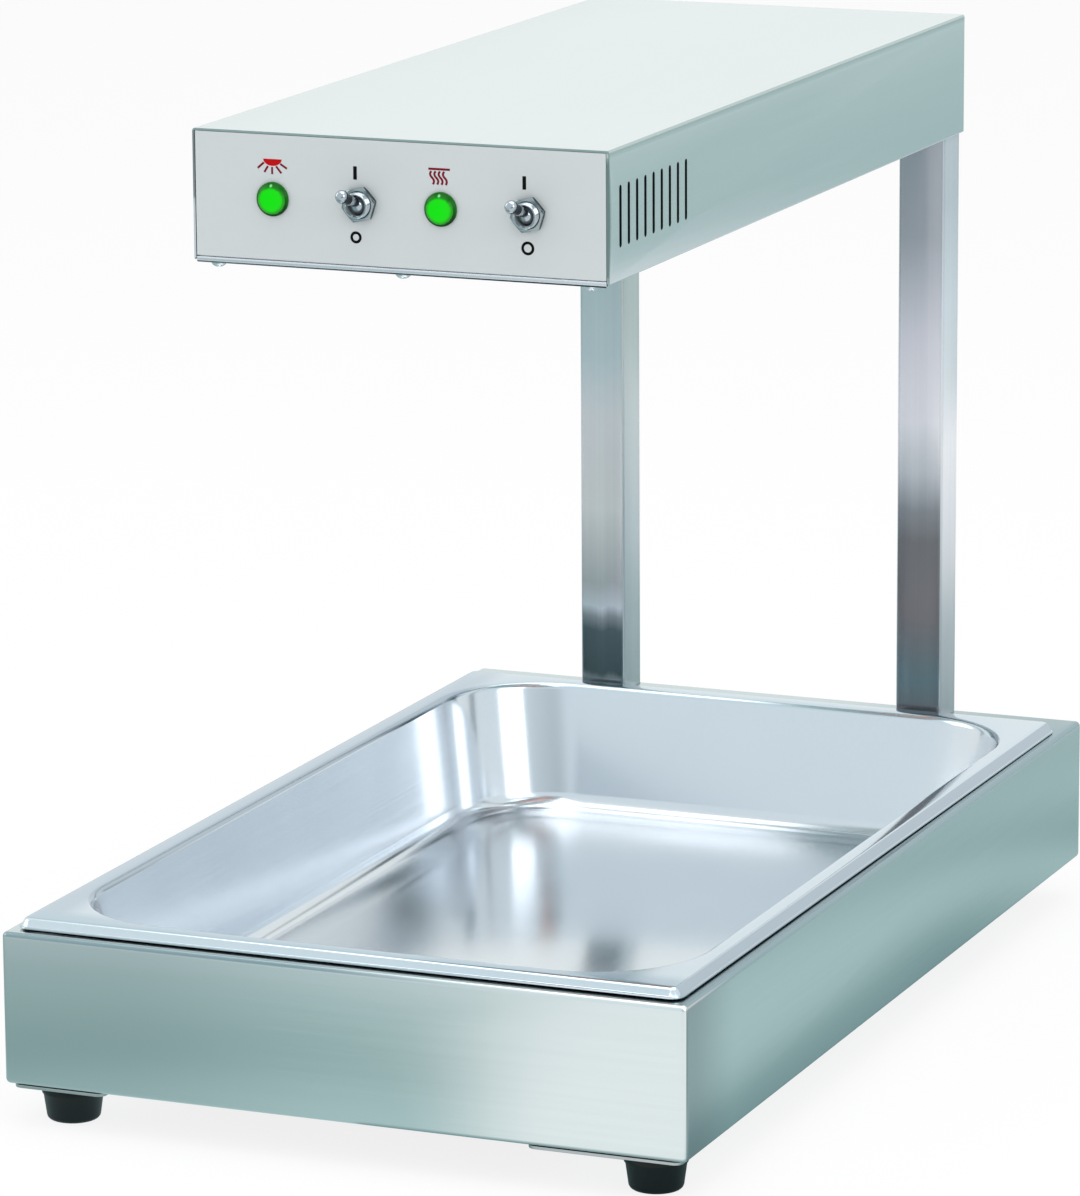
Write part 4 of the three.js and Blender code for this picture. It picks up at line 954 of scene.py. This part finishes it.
# rear panel: its lower edge reaches forward between the posts; four screws hold it to them
rearLow, rearHigh = nodeBox("hood_rear_panel")
rear = {"sheet": 1, "bend": 1.5, "gap": 0.3, "open": 4, "edge": 0.2, "glandAcross": -38, "glandHeight": 428.1,
        "glandHole": 10.3, "screwRises": (14, 46)}


def addRearPanel():
    points = [(rearLow.x, rearLow.y, rearLow.z), (rearLow.x, rearHigh.y, rearLow.z),
              (rearLow.x, rearHigh.y, rearHigh.z)]
    bm = walled(folded(points, (rearHigh.x - rearLow.x, 0, 0), [rear["bend"]]), rear["sheet"])
    notches = bmesh.new()
    gap, far, bottom = rear["gap"], rear["open"], rearLow.z
    for low, high in postBoxes.values():
        left, right = (low.x - gap, high.x + far) if low.x > 0 else (low.x - far, high.x + gap)
        block((left, low.y - gap, bottom - far), (right, high.y + gap, bottom + far), notches)
    glandSeat = (rear["glandAcross"], rearHigh.y, rear["glandHeight"])
    seats = [(x, rearLow.y + edgeScrew["inset"], bottom) for x in edgeScrew["rear"]]
    for tool in (notches, holesAlong("y", [glandSeat], rear["glandHole"]),
                 holesAlong("z", seats, edgeScrew["hole"])):
        bm = joined(bm, tool)
    addPiece("rear_panel_sheet", bm, steelLevel, stands=("hood_rear_panel",),
             edge=rear["edge"])
    addPostScrews("rear_panel_screws", rearHigh.y, [rearLow.z + rise for rise in rear["screwRises"]])


addRearPanel()


# lower cover with the heater window, and the five screws that hold it
coverBox = nodeBox("hood_cover_plate")
cover = {"corner": 1.5, "steps": 8, "windowWidth": 112, "window": (-156.65, 205.35), "windowCorner": 5,
         "edge": 0.2, "screws": 5, "head": 4, "rise": 3.4, "shank": 1.8, "turn": (27, 40)}


def addCover():
    bm = bmesh.new()
    (low, high), (front, rear), steps = coverBox, cover["window"], cover["steps"]
    window = edgeLoop(bm, cover["windowWidth"], rear - front, cover["windowCorner"], low.z,
                      (0, (front + rear) / 2), steps)
    bridged(bm, [boxLoop(bm, coverBox, 0, cover["corner"], low.z, steps), window])
    bm = thickened(bm, high.z - low.z, (0, 0, -1))
    boxes = [nodeBox("cover_screw_%d" % (i + 1)) for i in range(cover["screws"])]
    seats = [(*middleOf(box)[:2], box[0].z + cover["rise"]) for box in boxes]
    addPiece("hood_cover_sheet", joined(bm, holesAlong("z", seats, edgeScrew["hole"])), steelAlong,
             stands=("hood_cover_plate",), edge=cover["edge"])
    first, step = cover["turn"]
    for i, seat in enumerate(seats):
        addScrews("cover_screw_head_%d" % (i + 1), cover["head"], cover["rise"], [seat], "down", screwBright,
                  first + step * i, ("cover_screw_%d" % (i + 1),), cover["shank"])


addCover()
print("hood panels and cover made")


# heater: two quartz tubes with coils inside, the lamp, and the wire guard under them
heater = {"radius": 6, "wall": 1, "coilRadius": 3.1, "wireRadius": 0.45, "wireSides": 5, "pitch": 2.6,
          "turnSteps": 10, "margin": 6, "smooth": 80}
lamp = {"radius": 5, "round": 2, "steps": 4, "tip": 0.1, "ferrule": 9, "ferruleRadius": 4.2,
        "ferruleEdge": 0.6}
guard = {"edge": 1.5, "round": 0.5, "sides": 16, "bar": 1.1, "barSides": 14, "bars": 11}


def addHeaterTube(side):
    low, high = box = nodeBox("infrared_tube_" + side)
    across, _, rise = middleOf(box)
    middle = Vector((across, low.y, rise))
    length = high.y - low.y
    outer, inner = heater["radius"], heater["radius"] - heater["wall"]
    profile = [(inner, 0), (outer, 0), (outer, length), (inner, length), (inner, 0)]
    addPiece("quartz_tube_" + side, spun(profile, "y", middle), quartz,
             stands=("infrared_tube_" + side,))
    coil = bmesh.new()
    start = middle + Vector((heater["coilRadius"], heater["margin"], 0))
    ring = bmesh.ops.create_circle(coil, cap_ends=False, segments=heater["wireSides"],
                                   radius=heater["wireRadius"], matrix=Matrix.Translation(start))
    turns = int((length - 2 * heater["margin"]) / heater["pitch"])
    bmesh.ops.spin(coil, geom=ring["verts"] + coil.edges[:], cent=middle, axis=(0, 1, 0),
                   angle=2 * math.pi * turns, dvec=(0, heater["pitch"] / heater["turnSteps"], 0),
                   steps=turns * heater["turnSteps"], use_merge=False, use_duplicate=False)
    addPiece("heater_coil_" + side, coil, filament, smooth=heater["smooth"])


# a round bar's profile with its two ends rounded off
def barProfile(radius, first, last, bevel):
    return [(0, first), (radius - bevel, first), (radius, first + bevel), (radius, last - bevel),
            (radius - bevel, last), (0, last)]


def addLamp():
    low, high = box = nodeBox("lamp_tube")
    middle = (0, low.y, middleOf(box)[2])
    length, turn, ferrule, tip = high.y - low.y, lamp["round"], lamp["ferrule"], lamp["tip"]
    out = lamp["radius"] - turn
    profile = [(0, tip)] + arc((out, ferrule + turn), turn, -90, 0, lamp["steps"])[1:] \
        + arc((out, length - ferrule - turn), turn, 0, 90, lamp["steps"])[:-1] + [(0, length - tip)]
    addPiece("lamp_glass", spun(profile, "y", middle), frostedGlass, stands=("lamp_tube",))
    ends = bmesh.new()
    for first, last in ((0, ferrule), (length - ferrule, length)):
        spun(barProfile(lamp["ferruleRadius"], first, last, lamp["ferruleEdge"]), "y", middle, bm=ends)
    addPiece("lamp_ferrules", ends, zinc)


def addGuard():
    low, high = nodeBox("wire_guard")
    bm = bmesh.new()
    edge, length = guard["edge"], high.y - low.y
    z = low.z + edge
    for x in (low.x + edge, high.x - edge):
        spun(barProfile(edge, 0, length, guard["round"]), "y", (x, low.y, z), guard["sides"], bm)
    for i in range(guard["bars"]):
        y = low.y + edge + (length - 2 * edge) * i / (guard["bars"] - 1)
        rod("x", guard["bar"], (low.x + edge, y, z), high.x - low.x - 2 * edge, guard["barSides"], bm)
    addPiece("wire_guard_rods", bm, chrome, stands=("wire_guard",))


for side in ("left", "right"):
    addHeaterTube(side)
addLamp()
addGuard()
print("heater, lamp and guard made")


# a hexagon nut along +Y, its corners turned off by a cone at each face
nutShape = {"slope": 0.55, "skin": 0.01, "lead": 0.8, "leadDepth": 0.5, "coneSides": 48}


def hexagonNut(flats, start, thickness, turn, bore, chamfer=0.9):
    radius, slope = flats / 2 / math.cos(math.pi / 6), chamfer * nutShape["slope"]
    skin, lead, depth = nutShape["skin"], nutShape["lead"], nutShape["leadDepth"]
    bm = bmesh.new()
    bmesh.ops.create_cone(bm, cap_ends=True, segments=6, radius1=radius, radius2=radius, depth=thickness,
                          matrix=Matrix.Translation((0, 0, thickness / 2))
                          @ Matrix.Rotation(math.radians(turn), 4, "Z"))
    cone = spun([(0, -skin), (radius - chamfer, -skin), (radius, slope), (radius, thickness - slope),
                 (radius - chamfer, thickness + skin), (0, thickness + skin)], sides=nutShape["coneSides"])
    bores = spun([(0, -1), (bore + lead, -1), (bore, depth), (bore, thickness - depth),
                  (bore + lead, thickness + 1), (0, thickness + 1)])
    bm = joined(joined(bm, cone, "INTERSECT"), bores)
    return placed(bm, Matrix.Translation(start) @ Matrix.Rotation(math.radians(-90), 4, "X"))


# toggle switches: threaded bushing with its plate, hexagon nut and lever; tilt and turns in degrees
thread = {"radius": 5.9, "root": 5.45, "bore": 4.6, "pitch": 1.0, "crest": (0.35, 0.5), "start": 0.35,
          "stop": 1.6, "lead": (0.3, 0.4), "mouth": 0.2, "inside": 0.05, "plate": 1.2, "plateReach": (4, 8),
          "sides": 40, "holeSides": 24}
toggle = {"nutFlats": 14.7, "nutGap": 0.1, "nutTurn": 17.5, "nutFacing": 0.85, "nutEdge": 0.12,
          "ball": 4.3, "ballSteps": 8, "neck": 1.9, "shoulder": 2.5, "slim": (0.3, 0.2), "waist": 4.2,
          "length": 19.6, "tip": 3.05, "tipStart": -42, "tipFace": 58, "tipSteps": 10,
          "tipRound": (0.5, 0.15), "tipShare": 0.75, "tipShade": 1.0, "sides": 40, "pivot": 1.5,
          "tilt": 19, "smooth": 50}


def addBushing(label, box):
    low, high = box
    across, mouth, length = middleOf(box)[0], low.y, high.y - low.y
    root, radius, bore, pitch = thread["root"], thread["radius"], thread["bore"], thread["pitch"]
    profile = [(bore, length), (bore, thread["lead"][1]), (bore + thread["lead"][0], 0),
               (root - thread["mouth"], 0)]
    along = thread["start"]
    while along < length - thread["stop"]:
        profile += [(root, along)] + [(radius, along + pitch * share) for share in thread["crest"]]
        along += pitch
    profile += [(root, along), (root, length), (bore, length)]
    bm = spun(profile, "y", (across, mouth, controlHeight), thread["sides"])
    inner = bore + thread["inside"]
    painted(bm, 1, lambda _, at: math.hypot(at.x - across, at.z - controlHeight) < inner)
    plate = block((low.x, high.y - thread["plate"], low.z), high)
    start, reach = thread["plateReach"]
    opening = rod("y", root - thread["mouth"], (across, high.y - start, controlHeight), reach,
                  thread["holeSides"])
    addPiece("toggle_thread_" + label, gathered([bm, joined(plate, opening)]), [chrome, satinGrey],
             stands=("toggle_bushing_" + label,), outward=False)


def addNut(label, across):
    low, high = nodeBox("toggle_nut_" + label)
    nut = hexagonNut(toggle["nutFlats"], (across, low.y, controlHeight), high.y - low.y, toggle["nutTurn"],
                     thread["radius"] + toggle["nutGap"])
    nut.normal_update()
    painted(nut, 1, lambda normal, _: abs(normal.y) < toggle["nutFacing"])
    addPiece("toggle_hexagon_" + label, nut, [chromeSatin, chromeShade],
             stands=("toggle_nut_" + label,), edge=toggle["nutEdge"])


def addLever(label, across):
    ball, neck, tip, length = toggle["ball"], toggle["neck"], toggle["tip"], toggle["length"]
    shoulder, slim, turned = toggle["shoulder"], toggle["slim"], toggle["tipRound"]
    neckTurn = math.degrees(math.asin(math.sqrt(ball * ball - neck * neck) / ball))
    last = length - tip * toggle["tipShare"]
    first = last - toggle["waist"]
    profile = [(0, -ball)] + arc((0, 0), ball, -90, neckTurn, toggle["ballSteps"])[1:]
    profile += [(shoulder, first), (shoulder - slim[0], (first + last) / 2), (shoulder - slim[1], last)]
    profile += arc((0, length), tip, toggle["tipStart"], toggle["tipFace"], toggle["tipSteps"])
    end = profile[-1]
    profile += [(end[0] - turned[0], end[1] + turned[1]), (0, end[1] + turned[1])]
    lever = spun(profile, "y", sides=toggle["sides"])
    # painted shade: the waist and the tip behind its face are dark
    painted(lever, 1, lambda _, at: first < at.y < length + toggle["tipShade"])
    tilt = Matrix.Translation((across, panelFront - toggle["pivot"], controlHeight)) \
        @ Matrix.Rotation(math.radians(-toggle["tilt"]), 4, "X") @ Matrix.Rotation(math.pi, 4, "Z")
    addPiece("toggle_lever_bar_" + label, placed(lever, tilt), [chrome, chromeInShade],
             label + "_lever", ("toggle_lever_" + label,), smooth=toggle["smooth"])


for label in ("light", "heat"):
    bushing = nodeBox("toggle_bushing_" + label)
    addBushing(label, bushing)
    addNut(label, middleOf(bushing)[0])
    addLever(label, middleOf(bushing)[0])


# pilot lamps: a domed lens with a bevelled rim; points are radius and depth, the rim's depth in crowns
pilot = {"dome": ((0, 0), (2, 0.03), (4, 0.16)), "crown": 1.7, "radius": 7.8, "flange": 1.1, "spigot": 4.5,
         "bevel": ((5.9, 0.25), (6.15, 0.4), (7.3, 0.85)), "rim": ((7.7, 0.1), (7.8, 0.4)), "sides": 48,
         "smooth": 24}


def addPilot(label, across):
    low, high = nodeBox("pilot_lens_" + label)
    depth, crown, back = high.y - low.y, pilot["crown"], pilot["flange"] + pilot["crown"]
    profile = [*pilot["dome"], *((r, crown * share) for r, share in pilot["bevel"]),
               *((r, crown + more) for r, more in pilot["rim"]),
               (pilot["radius"], back), (pilot["spigot"], back), (pilot["spigot"], depth), (0, depth)]
    centre = (across, low.y, controlHeight)
    material = greenLens("green lens, " + label, tuple(value * mm for value in centre))
    addPiece("pilot_glass_" + label, spun(profile, "y", centre, pilot["sides"]), material,
             stands=("pilot_lens_" + label,), smooth=pilot["smooth"])


for label in ("light", "heat"):
    addPilot(label, panel[label + "Pilot"])
print("switches and pilot lamps made")


# marks printed on the panel: thin raised ink, drawn in the panel's own plane
ink = {"height": 0.06, "barWidth": 1.75, "barHeight": 6.0, "ringStroke": 1.25, "ringSides": 40,
       "on": ((-2.4, 14.0), (-2.1, 14.0)), "off": ((-2.3, -15.1, 2.75), (-0.6, -15.2, 3.1))}
lampMark = {"shift": -0.1, "rise": 18.1, "width": 9.1, "depth": 3.1, "steps": 24, "stroke": 0.95,
            "rayShift": -0.3, "rays": [(-4.03, 16.35, -7.14, 13.69), (-2.03, 14.83, -3.85, 12.01),
                                       (0, 14.48, 0, 11.22), (1.97, 14.91, 4.54, 11.83),
                                       (4.01, 16.1, 7.28, 14.11)]}
heatMark = {"across": 20.0, "rise": 17.9, "width": 10.4, "stroke": 1.0, "waves": 4, "pitch": 2.07,
            "waveShift": -0.3, "top": 16.9, "bottom": 10.95, "lean": 0.7, "swing": 0.85, "fade": 0.25,
            "steps": 16}


# lays a flat shape, drawn in X and Y, on the panel's face
def onPanel(bm, across, rise):
    pushed(bm, bmesh.ops.extrude_face_region(bm, geom=bm.faces[:]), (0, 0, ink["height"]))
    seat = Matrix.Translation((across, panelFront, controlHeight + rise))
    return placed(bm, seat @ Matrix.Rotation(math.radians(90), 4, "X"))


# a band of even width along a line of points
def band(points, width):
    bm = bmesh.new()
    sides = []
    for sign in (-0.5, 0.5):
        side = []
        for i, point in enumerate(points):
            before, after = points[max(i - 1, 0)], points[min(i + 1, len(points) - 1)]
            run = Vector((after[0] - before[0], after[1] - before[1])).normalized()
            side.append((point[0] - run.y * width * sign, point[1] + run.x * width * sign, 0))
        sides.append(wire(bm, side)[1])
    bmesh.ops.bridge_loops(bm, edges=sides[0] + sides[1])
    return bm


def ringMark(radius):
    ring = bmesh.new()
    loops = []
    for size in (radius, radius - ink["ringStroke"]):
        made = bmesh.ops.create_circle(ring, cap_ends=False, segments=ink["ringSides"], radius=size)
        loops += list({e for v in made["verts"] for e in v.link_edges})
    bmesh.ops.bridge_loops(ring, edges=loops)
    return ring


def wavePoint(share, middle):
    swing = heatMark["swing"] * math.sin(2 * math.pi * share) * (1 - heatMark["fade"] * share)
    return (heatMark["lean"] * (share - 0.5) - swing + middle,
            heatMark["top"] + (heatMark["bottom"] - heatMark["top"]) * share)


def addMarks():
    marks = []
    half, pilotPlace = ink["barHeight"] / 2, panel["lightPilot"]
    for x, on, off in zip((panel["lightToggle"], panel["heatToggle"]), ink["on"], ink["off"]):
        marks.append(onPanel(band([(0, -half), (0, half)], ink["barWidth"]), x + on[0], on[1]))
        marks.append(onPanel(ringMark(off[2]), x + off[0], off[1]))
    addPiece("switch_marks", gathered(marks), inkBlack)
    moon = bmesh.new()
    angles = [math.pi + math.pi * i / lampMark["steps"] for i in range(lampMark["steps"] + 1)]
    verts, _ = wire(moon, [(lampMark["width"] / 2 * math.cos(a), lampMark["depth"] * math.sin(a), 0)
                           for a in angles])
    bmesh.ops.contextual_create(moon, geom=verts)
    addPiece("lamp_mark_shade", onPanel(moon, pilotPlace + lampMark["shift"], lampMark["rise"]), inkRed)
    rays = [onPanel(band([ray[:2], ray[2:]], lampMark["stroke"]), pilotPlace + lampMark["rayShift"], 0)
            for ray in lampMark["rays"]]
    addPiece("lamp_mark_rays", gathered(rays), inkWine)
    waves, stroke = [], heatMark["stroke"]
    for i in range(heatMark["waves"]):
        middle = heatMark["pitch"] * (i - (heatMark["waves"] - 1) / 2)
        points = [wavePoint(step / heatMark["steps"], middle) for step in range(heatMark["steps"] + 1)]
        waves.append(onPanel(band(points, stroke), heatMark["across"] + heatMark["waveShift"], 0))
    half = heatMark["width"] / 2
    waves.append(onPanel(band([(-half, 0), (half, 0)], stroke), heatMark["across"], heatMark["rise"]))
    addPiece("heat_mark", gathered(waves), inkWine)


addMarks()
print("panel marks made")


# cable gland at the rear: threaded body with a hexagon, and a dome nut with grip flats
gland = {"flats": 24, "hexGap": 0.3, "hexThick": 5, "hexChamfer": 1.2, "thread": 10, "threadDepth": 0.5,
         "crest": 0.7, "pitch": 1.5, "neck": 7.5, "bore": 4.5, "bodyEdge": 0.2, "nutEdge": 0.25,
         "bodySides": 40, "nutGap": 0.3, "dome": 10.3, "skirt": 0.7, "domeRound": 5, "domeTurn": 62,
         "domeSteps": 6, "nutSides": 48, "mouth": (1, 0.6), "seal": 0.55, "ribs": 12, "ribWidth": 1.1,
         "ribStart": 0.5, "ribEnd": 0.48, "ribIn": 1.4, "ribOut": 0.05}


def addGlandBody(x, z):
    low, high = nodeBox("gland_body")
    crest, bore, neck = gland["thread"], gland["bore"], gland["neck"]
    root, length = crest - gland["threadDepth"], high.y - low.y
    hexStart = rearHigh.y + gland["hexGap"]
    body = hexagonNut(gland["flats"], (x, hexStart, z), gland["hexThick"], 0, bore, gland["hexChamfer"])
    profile = [(bore, 0)]
    along = 0.0
    while along < hexStart - low.y - 1:
        profile += [(root, along), (crest, along + gland["threadDepth"]), (crest, along + gland["crest"])]
        along += gland["pitch"]
    profile += [(root, hexStart - low.y), (neck, hexStart - low.y + gland["threadDepth"]), (neck, length),
                (bore, length), (bore, 0)]
    stem = spun(profile, "y", (x, low.y, z), gland["bodySides"])
    addPiece("gland_threaded_body", gathered([body, stem]), blackPlastic,
             stands=("gland_body",), edge=gland["bodyEdge"], outward=False)


def addGlandNut(x, z):
    low, high = nodeBox("gland_nut")
    length, dome, bore = high.y - low.y, gland["dome"], gland["bore"]
    middle, inner, skirt = length / 2, gland["neck"] + gland["nutGap"], dome - gland["skirt"]
    turn = gland["domeRound"]
    profile = [(inner, 0), (skirt, 0), (skirt, middle)]
    profile += arc((skirt - turn, middle), turn, 0, gland["domeTurn"], gland["domeSteps"])[1:]
    profile += [(bore + gland["mouth"][0], length), (bore, length - gland["mouth"][1]),
                (bore, length * gland["seal"]), (inner, middle), (inner, 0)]
    parts = [spun(profile, "y", (x, low.y, z), gland["nutSides"])]
    for i in range(gland["ribs"]):
        rib = block((-gland["ribWidth"], gland["ribStart"], dome - gland["ribIn"]),
                    (gland["ribWidth"], length * gland["ribEnd"], dome - gland["ribOut"]))
        turn = Matrix.Rotation(2 * math.pi * i / gland["ribs"], 4, "Y")
        parts.append(placed(rib, Matrix.Translation((x, low.y, z)) @ turn))
    addPiece("gland_dome_nut", gathered(parts), blackPlastic, stands=("gland_nut",),
             edge=gland["nutEdge"])


addGlandBody(rear["glandAcross"], rear["glandHeight"])
addGlandNut(rear["glandAcross"], rear["glandHeight"])
print("cable gland made")


# the CAD nodes that keep their own shape get their finish here
keptNodes = [(steelBright, "reflector", "reflector_end_front", "reflector_end_rear"),
             (zinc, "heat_shield", "post_foot_bridge", "post_head_bridge"),
             (ceramicWhite, "heater_cap_left_front", "heater_cap_left_rear", "heater_cap_right_front",
              "heater_cap_right_rear", "lamp_holder_front", "lamp_holder_rear", "terminal_block"),
             (blackPlastic, "toggle_case_light", "toggle_case_heat", "pilot_body_light", "pilot_body_heat",
              "gland_locknut"),
             (brass, "earth_stud"), (wireBrown, "supply_wire_light"), (wireBlack, "supply_wire_heat"),
             (wireBlue, "neutral_wire")]
for material, *names in keptNodes:
    for slot in [slot for name in names for slot in nodes[name].material_slots]:
        slot.material = material
print("kept nodes finished:", sum(len(row) - 1 for row in keptNodes))


# studio: pale floor, even sky and three soft lamps; to glossy rays the floor shows painted reflection tones,
# and its rings are shares of the reach round the middle
studio = {"sky": (0.72, 0.72, 0.72, 1), "ahead": (-0.38, 0.92, 0.1),
          "tones": [(0.1, (226, 238, 244)), (0.75, (246, 251, 250))], "low": (84, 98, 104),
          "lowFrom": (0.14, 0.3), "lowBehind": (-0.96, -0.8), "floorSize": 14, "floorWhite": 0.85,
          "matt": (0.97, 0.97, 0.97, 1), "reach": 3,
          "rings": [(0.0, (178, 204, 205)), (0.11, (178, 204, 205)), (0.125, (172, 198, 199)),
                    (0.138, (154, 181, 181)), (0.15, (149, 177, 177)), (0.19, (167, 194, 194)),
                    (0.227, (156, 183, 183)), (0.29, (172, 195, 197)), (0.36, (236, 240, 246)),
                    (0.5, (236, 240, 246)), (0.57, (163, 188, 189)), (1.0, (176, 198, 199))]}
# painted reflection that the base's front and right side mirror: a painted pool of light before it, a painted
# shadow strip beside it
field = {"slant": -0.38, "edge": (0.135, 0.215), "start": (-0.33, -0.27), "tone": (246, 251, 252)}
strip = {"edge": (0.198, 0.236), "start": (-0.33, -0.27), "end": (0.12, 0.37), "tone": (125, 155, 157)}
lamps = {"overhead": {"place": (0.2, -0.3, 2.6), "size": 2.6, "power": 26},
         "right front": {"place": (2.4, -1.6, 1.5), "size": 1.6, "power": 14},
         "left": {"place": (-2.4, -0.8, 1.6), "size": 1.6, "power": 10}}
lampAim = Vector((0, 0, 0.25))


def addSky():
    finish = Finish(bpy.data.worlds.new("studio"))
    bpy.context.scene.world = finish.owner
    way = finish.add("ShaderNodeTexCoord", output="Generated")
    forward = finish.measure("DOT_PRODUCT", way, studio["ahead"])
    tone = finish.ramp(studio["tones"], forward * 0.5 + 0.5)
    [height] = finish.split(way, "z")
    below = finish.fading(height, *studio["lowFrom"]) * finish.fading(forward, *studio["lowBehind"])
    tone = finish.blend(below, tone, studio["low"])
    seen = finish.blend(finish.ray("Glossy"), studio["sky"], tone)
    seen = finish.blend(finish.ray("Camera"), seen, white)
    seen = finish.blend(finish.ray("Transmission"), seen, white)
    finish.add("ShaderNodeOutputWorld", {"Surface": finish.add("ShaderNodeBackground", {"Color": seen})})


def addFloor():
    bm = bmesh.new()
    bmesh.ops.create_grid(bm, x_segments=1, y_segments=1, size=studio["floorSize"])
    mesh = bpy.data.meshes.new("floor")
    bm.to_mesh(mesh)
    bm.free()
    floor = bpy.data.objects.new("floor", mesh)
    bpy.context.scene.collection.objects.link(floor)
    finish = newFinish("pale studio floor")
    place = finish.place()
    across, along = finish.split(place, "xy")
    tone = finish.ramp(studio["rings"], finish.measure("LENGTH", place) * (1 / studio["reach"]))
    # a painted pool of light before the base and a painted shadow strip beside it, seen only in reflections
    before = finish.eased(across + along * field["slant"], *field["edge"]) \
        * finish.fading(along, *field["start"])
    beside = finish.fading(across, *strip["edge"]) * (across > 0) \
        * finish.eased(along, *strip["start"]) * finish.fading(along, *strip["end"])
    tone = finish.blend(beside, finish.blend(before, tone, field["tone"]), strip["tone"])
    matt = finish.add("ShaderNodeBsdfDiffuse", {"Color": studio["matt"]})
    bright = finish.add("ShaderNodeEmission", {"Color": rgb(*white)})
    mirror = finish.add("ShaderNodeEmission", {"Color": tone})
    share = finish.ray("Camera") * studio["floorWhite"]
    seen = finish.add("ShaderNodeMixShader", {0: share, 1: matt, 2: bright})
    seen = finish.add("ShaderNodeMixShader", {0: finish.ray("Glossy"), 1: seen, 2: mirror})
    finish.add("ShaderNodeOutputMaterial", {"Surface": seen})
    mesh.materials.append(finish.owner)


def addLamps():
    for name, setting in lamps.items():
        light = bpy.data.lights.new(name, "AREA")
        light.shape, light.size, light.energy = "SQUARE", setting["size"], setting["power"]
        source = bpy.data.objects.new(name, light)
        bpy.context.scene.collection.objects.link(source)
        source.location = setting["place"]
        source.rotation_euler = (lampAim - source.location).to_track_quat("-Z", "Y").to_euler()
        source.visible_camera = False


addSky()
addFloor()
addLamps()
bpy.context.scene.view_settings.view_transform = "Standard"
print("studio made")
